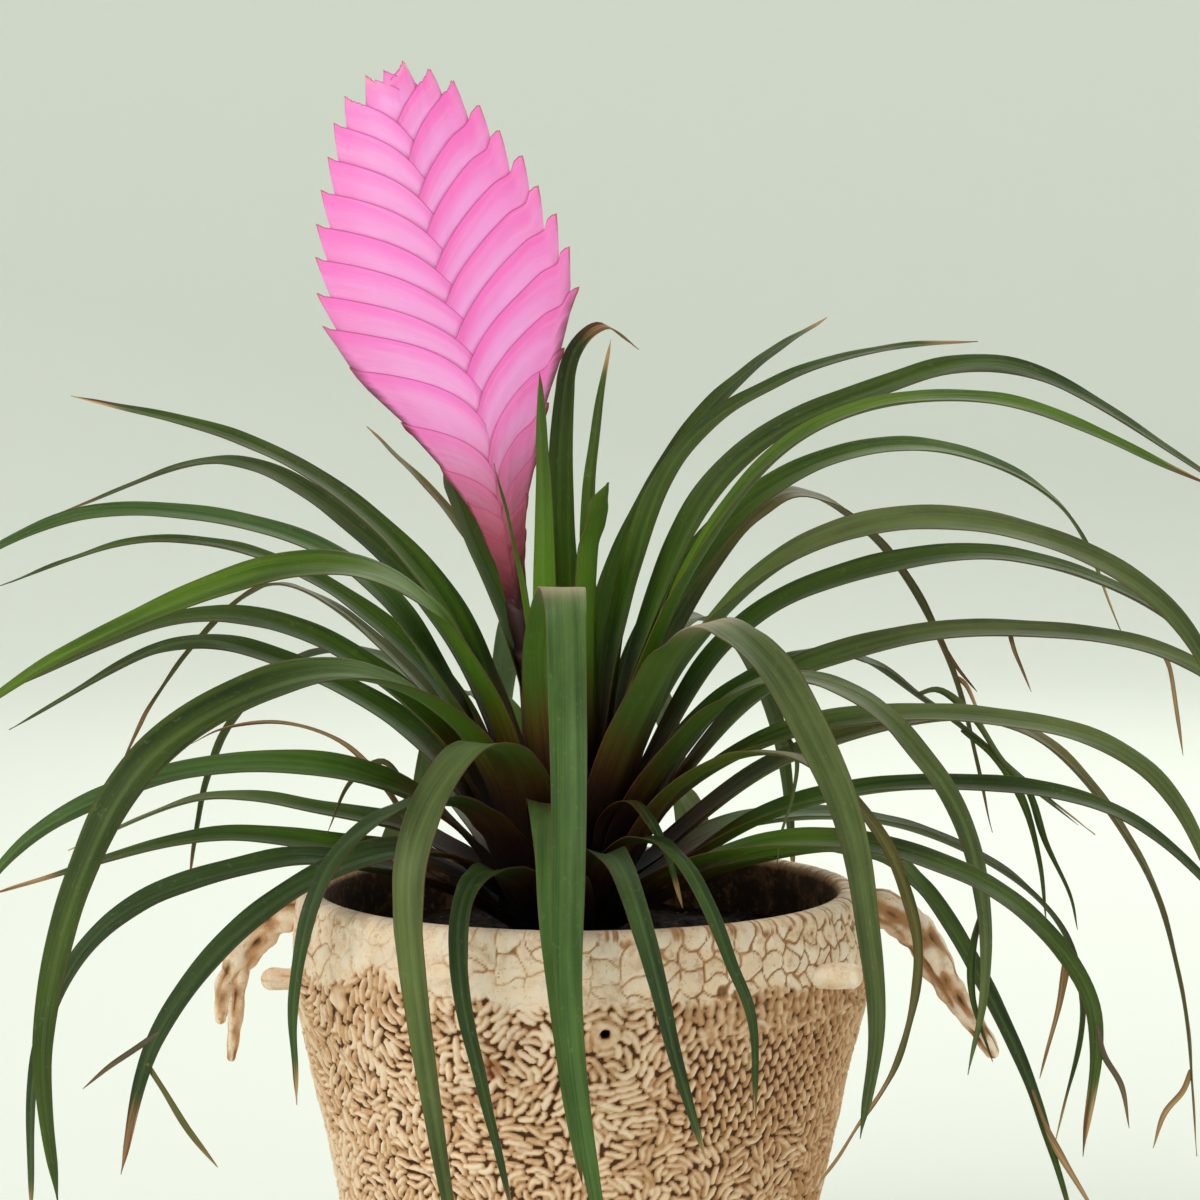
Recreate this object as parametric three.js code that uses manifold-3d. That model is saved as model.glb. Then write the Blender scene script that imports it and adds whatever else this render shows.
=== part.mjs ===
// Pink quill plant (Tillandsia cyanea) in a cast pot with a knotted relief.
// Millimetres, +Z up. The origin is the centre of the pot's flat foot, +X is to the right, and the plant's
// front, with the broad side of its pink quill, looks along -Y.
import * as THREE from "three";
import { mergeVertices } from "three/addons/utils/BufferGeometryUtils.js";
import Module from "manifold-3d";

const wasm = await Module();
wasm.setup();

// ---- Driving dimensions ----
const GAP = 0.3; // clearance between neighbouring pieces

const POT_HEIGHT = 130;
const POT_SEGMENTS = 80;
const POT_OUTSIDE = [[50.5, 0], [55.5, 25], [60.5, 52], [63.5, 67], [66.2, 80], [69, 92], [71, 101],
  [71.8, 108], [72, 118], [71, 127]]; // radius, height
const POT_INSIDE = [[64, 108], [53, 40], [46, 9]]; // radius, height; the last is the edge of its floor
const COLLAR_BOTTOM = 113; // smooth collar above this height, knotted relief below it
const RIDGE_HEIGHT = 1.2; // narrow ridge along the collar's lower edge
const KNOTS_ROUND = 20; // waves of knots round the pot
const KNOT_PITCH = 23; // height of one wave of knots
const KNOT_HEIGHT = 3;
const KNOT_ROWS = 18; // rows of vertices in the knotted relief

const SOIL_SEGMENTS = 48;
const SOIL_TOP = [[63.2, 115], [48, 116], [26, 117], [0, 118.5]]; // radius, height

const CROWN_X = -4;
const CROWN_FOOT = 86;
const CROWN_FOOT_RADIUS = 9;
const CROWN_SIDES = 24;
const CROWN_SHAPE = [[13, 120.5], [15, 123], [15, 130], [12.2, 143], [8.5, 157], [5, 166],
  [0, 166.8]]; // radius, height

const BLADE_THICKNESS = 0.8;
const BLADE_STATIONS = 6; // sections along a blade, besides one for each point of its way
const BLADE_TIP = 0.13; // width at the very tip, as a share of the blade's width
const BLADE_TAPER = 2.4; // the higher, the later a blade narrows
const BLADE_FOLD = [0.1, 0.32]; // depth of its channel at the root and further out, as a share of its width

const STALK_RADIUS = 3.2;
const STALK_WAY = [[-5.6, 167.3], [-6.9, 173], [-9.6, 180], [-12.8, 188.2], [-15.12, 198.14]]; // x, height

const QUILL_FOOT = { x: -15.2, z: 198.5 }; // lower end of the quill's axis
const QUILL_TILT = 13.2; // degrees to the left
const QUILL_BEND = 1.8; // how far its axis bows to the right below the widest place
const QUILL_OUTLINE = [[2.8, 0], [3.8, 12], [5.4, 22], [7.2, 28], [12.8, 41], [18.4, 52], [24.5, 62],
  [29, 71], [32.6, 79], [32.3, 89], [30.8, 98], [28.5, 106], [25.6, 114], [22, 122], [18.5, 129],
  [13.8, 136], [8, 140], [2.4, 142.5]]; // half width, height along the axis
const QUILL_MIDDLE = 4.1; // half thickness along the axis
const BRACTS = 32;
const BRACT_TOP = 142.4; // height of the highest bract's tip along the axis
const BRACT_PITCH = 4.12; // from a left bract's tip to the next right one's
const BRACTS_CROWDED = 3.2; // the pitch closes up towards the top, by this many bracts in all
const BRACT_RISE = 18; // how far a bract's tip stands above the point where its seam leaves the axis
const BRACT_DEPTH = 13.5; // from a bract's upper edge down to its lower edge
const BRACT_STEP = 1.8; // how far each bract's upper edge stands out over the next bract
const BRACT_STATIONS = [-0.1, 0.35, 0.75, 0.94, 1]; // shares of the way from the axis to the tip

// ---- Materials ----
const finish = (color, roughness) => new THREE.MeshStandardMaterial({ color, roughness, metalness: 0 });
const CAST = finish(0xd9c19a, 0.75);
const SOIL = finish(0x1c1612, 0.95);
const CROWN = finish(0x3a2318, 0.6);
const LEAF = finish(0x2f5a2c, 0.45);
const STALK = finish(0x8a5040, 0.55);
const PINK = finish(0xf57fc4, 0.5);

// ---- Small tools ----
const radians = THREE.MathUtils.degToRad;
const lerp = THREE.MathUtils.lerp;
const smooth = THREE.MathUtils.smoothstep;

const plant = new THREE.Group();

function place(name, geometry, material) {
  const mesh = new THREE.Mesh(geometry, material);
  mesh.name = name;
  plant.add(mesh);
}

// A closed body through rings of equally many points, each end closed by a fan from the ring's first point.
function loft(rings) {
  const count = rings[0].length;
  const positions = rings.flat().flatMap((p) => [p.x, p.y, p.z]);
  const faces = [];
  for (let r = 0; r < rings.length - 1; r++) {
    for (let i = 0; i < count; i++) {
      const [a, b] = [r * count + i, r * count + ((i + 1) % count)];
      faces.push(a, b, b + count, a, b + count, a + count);
    }
  }
  const last = (rings.length - 1) * count;
  for (let i = 1; i < count - 1; i++) {
    faces.push(0, i + 1, i, last, last + i, last + i + 1);
  }
  const geometry = new THREE.BufferGeometry();
  geometry.setAttribute("position", new THREE.Float32BufferAttribute(positions, 3));
  geometry.setIndex(faces);
  return geometry;
}

// A body turned round the Z axis from [radius, height] points that start and end on the axis.
function turned(profile, segments) {
  const points = profile.map(([r, z]) => new THREE.Vector2(r, z));
  return new THREE.LatheGeometry(points, segments).rotateX(Math.PI / 2);
}

function toSolid(geometry) {
  const bare = geometry.clone();
  bare.deleteAttribute("normal");
  bare.deleteAttribute("uv");
  const merged = mergeVertices(bare, 1e-3);
  return new wasm.Manifold(
    new wasm.Mesh({
      numProp: 3,
      vertProperties: merged.attributes.position.array,
      triVerts: new Uint32Array(merged.index.array),
    }),
  );
}

function toGeometry(solid) {
  const { vertProperties, triVerts } = solid.getMesh();
  const geometry = new THREE.BufferGeometry();
  geometry.setAttribute("position", new THREE.BufferAttribute(vertProperties, 3));
  geometry.setIndex(new THREE.BufferAttribute(triVerts, 1));
  return geometry;
}

const fuse = (geometries) => toGeometry(geometries.map(toSolid).reduce((a, b) => a.add(b)));

// A round rod along a curve, its radius given for each share of its length.
function rod(points, radiusAt, sides, stations) {
  const curve = new THREE.CatmullRomCurve3(points, false, "centripetal");
  const rings = [];
  for (let s = 0; s < stations; s++) {
    const t = s / (stations - 1);
    const along = curve.getTangentAt(t);
    const across = new THREE.Vector3(0, 1, 0).cross(along).normalize();
    const over = new THREE.Vector3().crossVectors(along, across);
    const centre = curve.getPointAt(t);
    rings.push(
      Array.from({ length: sides }, (_, i) => {
        const angle = (2 * Math.PI * i) / sides;
        return centre
          .clone()
          .addScaledVector(across, radiusAt(t) * Math.cos(angle))
          .addScaledVector(over, radiusAt(t) * Math.sin(angle));
      }),
    );
  }
  return loft(rings);
}

// ---- Pot ----
function radiusAt(profile, z) {
  const above = profile.findIndex(([, height]) => height >= z);
  if (above < 1) return profile.at(above)[0];
  const [[r0, z0], [r1, z1]] = [profile[above - 1], profile[above]];
  return lerp(r0, r1, (z - z0) / (z1 - z0));
}

// How far the surface stands out at an angle round the pot and a height.
function relief(angle, z) {
  const ridge = RIDGE_HEIGHT * Math.exp(-(((z - COLLAR_BOTTOM) / 2) ** 2));
  const across = KNOTS_ROUND * angle + z / 12 + 1.3 * Math.sin(3 * angle + z / 30);
  const along = (2 * Math.PI * z) / KNOT_PITCH + 2.2 * Math.sin(5 * angle - z / 25) + 0.5 * across;
  const knots = Math.sin(across) * Math.cos(along);
  const cells = 0.4 * Math.sin(11 * angle + z / 5) * Math.sin(9 * angle - z / 4);
  const worked = smooth(z, 0, 5) * (1 - smooth(z, COLLAR_BOTTOM - 4, COLLAR_BOTTOM - 1));
  return ridge + 0.5 * KNOT_HEIGHT * worked * knots + (z > COLLAR_BOTTOM + 1 ? cells : 0);
}

function potBody() {
  const rows = Array.from({ length: KNOT_ROWS }, (_, i) => i / (KNOT_ROWS - 1));
  const worked = rows.map((share) => lerp(3, COLLAR_BOTTOM - 4, share));
  const collar = [0, 2.5, 6, 10, 14].map((rise) => COLLAR_BOTTOM + rise);
  const heights = [...worked, COLLAR_BOTTOM - 2, ...collar];
  const outer = heights.map((z) => [radiusAt(POT_OUTSIDE, z), z]);
  const foot = POT_OUTSIDE[0][0] - 1.5;
  const rim = [[70, POT_HEIGHT - 0.8], [67.5, POT_HEIGHT], [65, POT_HEIGHT - 0.8], [64.2, POT_HEIGHT - 3]];
  const floor = [0, POT_INSIDE.at(-1)[1]];
  const body = turned([[0, 0], [foot, 0], ...outer, ...rim, ...POT_INSIDE, floor], POT_SEGMENTS);
  const position = body.attributes.position;
  for (let i = 0; i < position.count; i++) {
    const [x, y, z] = [position.getX(i), position.getY(i), position.getZ(i)];
    const radius = Math.hypot(x, y);
    if (z < 1 || z > POT_HEIGHT - 2.5 || radius < radiusAt(POT_OUTSIDE, z) - 1) continue;
    const grown = 1 + relief(Math.atan2(y, x), z) / radius;
    position.setXY(i, x * grown, y * grown);
  }
  return body;
}

function potArms() {
  const at = (x, z) => new THREE.Vector3(x, 0, z);
  const front = (x, z) => new THREE.Vector3(x, -42, z);
  const left = [at(-67.5, 122.5), at(-72, 123.5), at(-78, 121), at(-85, 113), at(-88.2, 106)];
  const outerProng = [at(-87, 109), at(-90.2, 102), at(-91, 94.5)];
  const innerProng = [at(-86.4, 110), at(-86.8, 99), at(-88.2, 85)];
  const right = [at(67.5, 123.5), at(72.5, 125), at(80, 122), at(88, 113), at(95, 101), at(102, 91),
    at(105, 86)];
  return [
    rod(left, (t) => lerp(4.6, 3.4, t), 10, 9),
    rod(outerProng, (t) => lerp(2.4, 1.1, t), 8, 6),
    rod(innerProng, (t) => lerp(2.4, 1.3, t), 8, 7),
    rod(right, (t) => lerp(4.8, 1.7, t), 10, 12),
    rod([at(-67.5, 106), at(-74, 105.8), at(-80.5, 106.2)], (t) => 2.2 + 0.5 * t, 8, 4),
    rod([front(52, 113.6), front(60, 114.8), front(68.5, 114.2)], () => 2.9, 8, 4),
  ];
}

place("pot", fuse([potBody(), ...potArms()]), CAST);

// ---- Soil ----
function soil() {
  const side = POT_INSIDE.toReversed().map(([radius, z]) => [radius - 1.5 * GAP, z]);
  side[0][1] += GAP;
  const full = turned([[0, side[0][1]], ...side, ...SOIL_TOP], SOIL_SEGMENTS);
  const [bore, floor] = [CROWN_FOOT_RADIUS + GAP, CROWN_FOOT - GAP];
  const hole = turned([[0, floor], [bore, floor], [bore, POT_HEIGHT], [0, POT_HEIGHT]], CROWN_SIDES);
  return toGeometry(toSolid(full).subtract(toSolid(hole.translate(CROWN_X, 0, 0))));
}

place("soil", soil(), SOIL);

// ---- Crown ----
const crownRadius = (z) => radiusAt(CROWN_SHAPE, z);

function crown() {
  const foot = [[0, CROWN_FOOT], [CROWN_FOOT_RADIUS, CROWN_FOOT], [CROWN_FOOT_RADIUS, CROWN_SHAPE[0][1]]];
  return turned([...foot, ...CROWN_SHAPE], CROWN_SIDES).translate(CROWN_X, 0, 0);
}

place("crown", crown(), CROWN);

// ---- Leaves ----
// turn: the way the leaf grows, in degrees from +X towards the back.
// root: the height where it leaves the crown.
// way: the points that it passes through, each a reach from the crown's axis, a height, and a drift to
// the leaf's left where it strays from its line.
// lean: how far its upper face turns to its left, in degrees.
function leaf({ turn, root, width, way, lean = 0 }) {
  const out = new THREE.Vector3(Math.cos(radians(turn)), Math.sin(radians(turn)), 0);
  const left = new THREE.Vector3(-out.y, out.x, 0);
  const start = [crownRadius(root) + GAP + BLADE_THICKNESS, root];
  const points = [start, ...way].map(([reach, height, drift = 0]) =>
    new THREE.Vector3(CROWN_X, 0, height).addScaledVector(out, reach).addScaledVector(left, drift));
  const curve = new THREE.CatmullRomCurve3(points, false, "centripetal");
  const rings = [];
  const stations = BLADE_STATIONS + way.length;
  for (let s = 0; s < stations; s++) {
    const t = s / (stations - 1);
    const along = curve.getTangentAt(t);
    const flat = left.clone().projectOnPlane(along).normalize();
    const up = new THREE.Vector3().crossVectors(along, flat);
    const tilt = radians(lean) * smooth(t, 0.05, 0.4);
    const across = flat.clone().multiplyScalar(Math.cos(tilt)).addScaledVector(up, -Math.sin(tilt));
    const over = up.multiplyScalar(Math.cos(tilt)).addScaledVector(flat, Math.sin(tilt));
    const centre = curve.getPointAt(t);
    const half = 0.5 * width * (1 - (1 - BLADE_TIP) * t ** BLADE_TAPER) * lerp(0.85, 1, smooth(t, 0, 0.2));
    const fold = 2 * half * lerp(...BLADE_FOLD, smooth(t, 0, 0.35)) * (1 - 0.5 * t);
    const thick = BLADE_THICKNESS / 2;
    const section = [[0, thick], [-half, fold + thick], [-half, fold - thick], [0, -thick],
      [half, fold - thick], [half, fold + thick]];
    rings.push(section.map(([a, u]) => centre.clone().addScaledVector(across, a).addScaledVector(over, u)));
  }
  return loft(rings);
}

const LEAVES = {
  leaf_left: [
    { turn: 168, root: 154, width: 9, lean: 25, way: [[32, 201], [55, 225], [84, 241], [129, 252]] },
    { turn: 152, root: 150, width: 8, lean: 25, way: [[30, 188], [57, 215], [98, 234], [154, 219]] },
    { turn: 130, root: 156, width: 5, way: [[14, 183], [24, 203, 1], [46, 224, 3], [74, 243, 6]] },
    { turn: 189, root: 144, width: 10, lean: 30, way: [[28, 176], [56, 212], [115, 225], [154, 210]] },
    { turn: 160, root: 142, width: 7, lean: 20, way: [[36, 181], [73, 207], [114, 214], [162, 200]] },
    { turn: 206, root: 148, width: 12, lean: 30,
      way: [[23, 180], [44, 207], [73, 212], [130, 194], [154, 181]] },
    { turn: 177, root: 139, width: 10, lean: 25, way: [[34, 170], [66, 193], [93, 197], [145, 177]] },
    { turn: 169, root: 135, width: 9, lean: 25, way: [[40, 167], [80, 187], [100, 189], [146, 166]] },
    { turn: 147, root: 139, width: 5, way: [[45, 178], [90, 202], [116, 186], [138, 160], [146, 144]] },
    { turn: 218, root: 138.5, width: 13, lean: 25,
      way: [[24, 162], [48, 182], [77, 187], [120, 172], [139, 146], [150, 108], [147, 70]] },
    { turn: 191, root: 130, width: 12, lean: 25,
      way: [[28, 146], [56, 159], [96, 160], [132, 146], [150, 126]] },
    { turn: 166, root: 127, width: 7, lean: 15, way: [[35, 140], [62, 146], [94, 149], [133, 134]] },
    { turn: 176, root: 124, width: 9, lean: 20, way: [[30, 134], [56, 138], [89, 141], [146, 126]] },
    { turn: 204, root: 121, width: 9, lean: 20,
      way: [[30, 130], [56, 138], [75, 140], [119, 128], [136, 100], [139, 58]] },
    { turn: 220, root: 127, width: 9, lean: 20,
      way: [[34, 140], [62, 142], [97, 130], [123, 106], [133, 76]] },
  ],
  leaf_right: [
    { turn: 13, root: 158, width: 8, lean: -25,
      way: [[15, 195], [30, 238], [56, 256], [83, 264], [108, 266]] },
    { turn: 50, root: 156, width: 7, lean: -25, way: [[21, 207, -1], [49, 241], [78, 259], [109, 271]] },
    { turn: 5, root: 154, width: 11, lean: -30,
      way: [[20, 189], [42, 234], [80, 254], [111, 260], [174, 226]] },
    { turn: 342, root: 152, width: 10, lean: -25, way: [[34, 211], [64, 245], [108, 253], [163, 233]] },
    { turn: 25, root: 150, width: 10, lean: -25,
      way: [[24, 190], [55, 226], [99, 238], [144, 222], [164, 187]] },
    { turn: 335, root: 147, width: 12, lean: -30,
      way: [[35, 190], [65, 216], [105, 224], [153, 208], [180, 167]] },
    { turn: 8, root: 143, width: 10, lean: -25,
      way: [[44, 192], [74, 207], [115, 211], [161, 191], [185, 150]] },
    { turn: 352, root: 138, width: 11, lean: -25,
      way: [[49, 178], [72, 189], [106, 195], [157, 187], [186, 151]] },
    { turn: 336, root: 132, width: 10, lean: -25,
      way: [[31, 154], [62, 171], [110, 177], [151, 167], [176, 122]] },
    { turn: 346, root: 125, width: 9, lean: -20, way: [[53, 149], [95, 158], [140, 152], [183, 113]] },
    { turn: 318, root: 123, width: 9, lean: -20,
      way: [[45, 140], [85, 149], [117, 147], [143, 138], [161, 120], [159, 85]] },
    { turn: 337, root: 120.5, width: 8, lean: -20,
      way: [[45, 137], [84, 143], [96, 133], [109, 114], [121, 91], [134, 54]] },
    { turn: 28, root: 127, width: 8, lean: -15,
      way: [[50, 141], [100, 138], [147, 112], [158, 87], [150, 49]] },
    { turn: 10, root: 131, width: 8, lean: -20,
      way: [[60, 161], [116, 168], [150, 133], [162, 99], [167, 54]] },
    { turn: 38, root: 146, width: 8, lean: -20,
      way: [[36, 194], [72, 226], [102, 214], [130, 180], [148, 130]] },
    { turn: 23, root: 135, width: 7, lean: -15,
      way: [[40, 170], [75, 186], [102, 172], [138, 145], [153, 134]] },
  ],
  leaf_centre: [
    { turn: 78, root: 161, width: 9, lean: -40,
      way: [[9, 202, 3], [9, 244, 3], [12, 264, 0], [18, 270, -6], [25, 264, -14]] },
    { turn: 250, root: 159, width: 7, way: [[14, 200], [15, 230], [17, 259.5]] },
    { turn: 25, root: 163, width: 5, lean: -40, way: [[7, 204], [7, 227], [10, 252], [13, 267]] },
    { turn: 318, root: 161, width: 11, lean: -20, way: [[9, 185], [9.5, 207], [11, 222], [15, 232]] },
    { turn: 158, root: 161, width: 10, lean: 30, way: [[10, 178], [15, 194], [25, 215], [33, 234]] },
    { turn: 222, root: 161, width: 4, lean: 20, way: [[12, 195], [17, 218], [23, 237]] },
  ],
  leaf_front: [
    { turn: 248, root: 136, width: 10,
      way: [[28, 162], [50, 171], [82, 162, 1], [97, 148, 2], [99, 126, 4], [99, 104, 7], [97, 74, 11],
        [95, 54, 14]] },
    { turn: 266, root: 153, width: 11.5,
      way: [[22, 190, -2], [38, 208, 2.5], [70, 188, 6.5], [91, 148, 8.2], [94, 124, 8.4], [95, 102, 10.2],
        [95, 74, 14.5], [93, 50, 19]] },
    { turn: 253, root: 123, width: 6,
      way: [[40, 137], [70, 142], [84, 134, 1], [90, 118, 4], [91, 98, 9], [90, 68, 16]] },
    { turn: 271, root: 121, width: 6,
      way: [[38, 135], [68, 142], [81, 137], [86, 116, -1], [87, 96, -1]] },
    { turn: 281, root: 125, width: 7,
      way: [[38, 141], [68, 146], [84, 139, 1], [90, 121, 5], [93, 103, 9], [93, 80, 16]] },
    { turn: 293, root: 128, width: 5,
      way: [[40, 146], [70, 147], [83, 137, 2], [88, 125, 5], [91, 113, 9], [90, 86, 11]] },
    { turn: 301, root: 132, width: 4, way: [[20, 149], [33, 155], [47, 146], [56, 132]] },
    { turn: 308, root: 142, width: 12, lean: -10,
      way: [[30, 173], [56, 200], [77, 193], [95, 175], [107, 157], [113, 136], [117, 112], [112, 85]] },
    { turn: 324, root: 135, width: 9, lean: -15,
      way: [[30, 160], [59, 185], [87, 183], [104, 170], [115, 157], [121, 138], [122, 118], [118, 96]] },
    { turn: 314, root: 130, width: 5,
      way: [[40, 158], [75, 170], [104, 156], [118, 130], [112, 102], [98, 82], [86, 66]] },
    { turn: 234, root: 130, width: 7, way: [[34, 152], [66, 156], [92, 146], [104, 120], [104, 92]] },
  ],
  leaf_rear: [
    { turn: 66, root: 140, width: 9, way: [[45, 174], [80, 190], [118, 180], [148, 150], [160, 108]] },
    { turn: 77, root: 133, width: 10, way: [[40, 160], [75, 172], [110, 165], [140, 138], [150, 98]] },
    { turn: 98, root: 142, width: 11, way: [[42, 176], [78, 190], [115, 180], [144, 150], [156, 108]] },
    { turn: 108, root: 134, width: 9, way: [[42, 160], [78, 170], [112, 160], [138, 130], [146, 90]] },
    { turn: 134, root: 137, width: 6, way: [[40, 166], [75, 183], [112, 176], [140, 150], [153, 112]] },
    { turn: 68, root: 123, width: 8, way: [[40, 138], [72, 146], [96, 134], [106, 108], [106, 78]] },
    { turn: 120, root: 123, width: 8, way: [[40, 138], [72, 145], [94, 132], [104, 104], [103, 74]] },
  ],
};

for (const [family, leaves] of Object.entries(LEAVES)) {
  leaves.forEach((spec, i) => place(family + "_" + (i + 1), leaf(spec), LEAF));
}

// ---- Flower stalk ----
const stalkPoints = STALK_WAY.map(([x, z]) => new THREE.Vector3(x, 0, z));
place("flower_stalk", rod(stalkPoints, () => STALK_RADIUS, 10, 6), STALK);

// ---- Quill ----
const quillUp = new THREE.Vector3(-Math.sin(radians(QUILL_TILT)), 0, Math.cos(radians(QUILL_TILT)));
const quillRight = new THREE.Vector3(quillUp.z, 0, -quillUp.x);

// A point of the quill: beside its axis, forward of it and along it.
function onQuill(beside, forward, along) {
  const bend = QUILL_BEND * Math.sin(Math.PI * Math.min(along / 85, 1));
  return new THREE.Vector3(QUILL_FOOT.x, -forward, QUILL_FOOT.z)
    .addScaledVector(quillRight, beside + bend)
    .addScaledVector(quillUp, along);
}

// One keeled bract: it sweeps from the axis up and out to its pointed tip. Its upper edge stands out over
// the bract above it, and its lower edge lies under the bract below.
function bract(tip, side) {
  const reach = radiusAt(QUILL_OUTLINE, tip);
  const rise = Math.min(BRACT_RISE, tip - 1);
  const rings = BRACT_STATIONS.map((share) => {
    const u = Math.max(share, 0);
    const upper = tip - rise * (1 - u) ** 1.7 + Math.min(share, 0) * rise;
    const lower = Math.max(upper - BRACT_DEPTH * (1 - u ** 24) - 0.4, 0);
    const middle = QUILL_MIDDLE * (1 - 0.9 * u ** 1.5) * lerp(0.7, 1, smooth(reach, 3, 18));
    const proud = middle + BRACT_STEP * (1 - 0.6 * u);
    return [[proud, upper], [middle, lower], [-middle, lower], [-proud, upper]]
      .map(([forward, along]) => onQuill(side * share * reach, forward, along));
  });
  return loft(side > 0 ? rings : rings.reverse());
}

function quill() {
  const core = loft(
    [0, 0.35, 0.62, 0.9].map((t) => {
      const along = t * BRACT_TOP;
      const half = 0.4 * radiusAt(QUILL_OUTLINE, along) + 1;
      const thick = QUILL_MIDDLE * 0.7;
      return [[half, 0], [0, -thick], [-half, 0], [0, thick]].map(([a, f]) => onQuill(a, f, along));
    }),
  );
  const bracts = Array.from({ length: BRACTS }, (_, i) => {
    const crowding = BRACTS_CROWDED * (1 - Math.exp(-i / BRACTS_CROWDED));
    return bract(BRACT_TOP - (i - crowding) * BRACT_PITCH, i % 2 ? -1 : 1);
  });
  return fuse([core, ...bracts]);
}

place("quill", quill(), PINK);

export default plant;
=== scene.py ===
"""Dresses the pink quill plant and its cast pot.

Shapes are worked out in millimetres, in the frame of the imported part, and stored in metres. The origin is
the centre of the pot's foot, +Z is up, +X is to the right and the front of the plant looks along -Y.
"""

import math
from collections import namedtuple
from functools import cached_property

import bpy
import numpy as np
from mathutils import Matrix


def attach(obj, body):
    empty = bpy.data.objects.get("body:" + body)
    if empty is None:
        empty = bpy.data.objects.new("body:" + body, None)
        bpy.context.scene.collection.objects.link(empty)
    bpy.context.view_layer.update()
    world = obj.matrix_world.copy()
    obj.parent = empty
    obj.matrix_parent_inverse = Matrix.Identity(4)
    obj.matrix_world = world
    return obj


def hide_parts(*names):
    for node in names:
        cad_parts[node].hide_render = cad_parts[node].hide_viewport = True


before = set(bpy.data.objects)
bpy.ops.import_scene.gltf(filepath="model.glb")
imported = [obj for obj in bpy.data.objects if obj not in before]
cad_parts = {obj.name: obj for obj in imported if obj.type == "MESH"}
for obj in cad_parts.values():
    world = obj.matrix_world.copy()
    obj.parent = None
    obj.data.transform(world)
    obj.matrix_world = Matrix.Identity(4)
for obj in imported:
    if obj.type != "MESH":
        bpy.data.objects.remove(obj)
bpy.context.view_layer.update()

bl_info = {
    "name": "Pink quill plant",
    "version": (1, 0, 0),
    "blender": (4, 5, 0),
    "location": "3D View > Sidebar > Quill plant",
    "description": "Builds the fine leaves, quill and cast pot of a pink quill plant",
    "category": "Object",
}

MM = 0.001
SEEDS = {"grains": 7, "crazing": 11, "arms": 21, "soil": 5, "leaves": 100, "strands": 140, "quill": 3}

# ---- Sizes shared with the solids, in millimetres ----
POT_OUTSIDE = ((50.5, 0), (55.5, 25), (60.5, 52), (63.5, 67), (66.2, 80), (69, 92), (71, 101), (71.8, 108),
               (72, 118), (71, 127))  # radius, height
POT_RIM = ((70.6, 128.6), (69.4, 129.6), (67.5, 130), (65.8, 129.7), (64.7, 128.6), (64.2, 127))
POT_INSIDE = ((64.1, 122), (64, 116), (64, 108), (62, 100))
SOIL_TOP = ((0, 118.5), (26, 117), (48, 116), (63.2, 115))
CROWN_X = -4
CROWN_SHAPE = ((13, 118), (13, 120.5), (15, 123), (15, 130), (12.2, 143), (8.5, 157), (5, 166), (1, 166.8))
STALK_WAY = ((-5.0, 160), (-5.6, 167.3), (-6.9, 173), (-9.6, 180), (-12.8, 188.2), (-15.12, 198.14),
             (-16.9, 206))  # x, height
STALK_RADIUS = 3.2
QUILL_FOOT = (-15.2, 198.5)  # x, height of the lower end of the quill's axis
QUILL_TILT = 13.2  # degrees to the left
QUILL_BEND = 1.8
QUILL_MIDDLE = 4.1  # half thickness along the axis
BRACT_STEP = 1.8  # how far a bract's upper edge stands out over the next bract
QUILL_OUTLINE = ((2.8, 0), (3.8, 12), (5.4, 22), (7.2, 28), (12.8, 41), (18.4, 52), (24.5, 62), (29, 71),
                 (32.6, 79), (32.3, 89), (30.8, 98), (28.5, 106), (25.6, 114), (22, 122), (18.5, 129),
                 (13.8, 136), (8, 140), (2.4, 142.5))  # half width, height along the axis

# Tips of the quill's bracts: beside the axis, along it.
TIPS_RIGHT = ((3.9, 140.4), (9.8, 137.4), (14.7, 133.4), (19.6, 126), (23, 118.9), (27.1, 111.6),
              (29.2, 103.5), (32, 95.8), (33.3, 87.1), (32.9, 76.9), (27, 63), (19.6, 50.6), (12.6, 39.5),
              (7.6, 29.5), (5.4, 21))
TIPS_LEFT = ((1.4, 138.9), (6.1, 138.8), (12.4, 135), (16.6, 129.2), (20, 121.4), (23.6, 113.9), (26.7, 106),
             (28.8, 98.1), (30.6, 89.4), (31.4, 81.1), (28, 69.6), (19.4, 53.4), (12.6, 40.4), (8, 30.5),
             (5.6, 22))
# A bract's upper edge falls from its tip towards the axis by these millimetres times the share of the way,
# its square and its sixth power.
RIM_FALL_RIGHT = (14.5, 6.3, 2.6)
RIM_FALL_LEFT = (10.4, 5.4, 3.0)
# The finger at the tip of a bract on the right: how far its edge falls, between which distances from the tip.
FINGER = ((0.4, (0, 2.2)), (1.7, (2.4, 4.0)), (-1.1, (4.2, 9.0)))

Leaf = namedtuple("Leaf", "turn root width lean tone dry way tip worn", defaults=(1.0, None))
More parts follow.
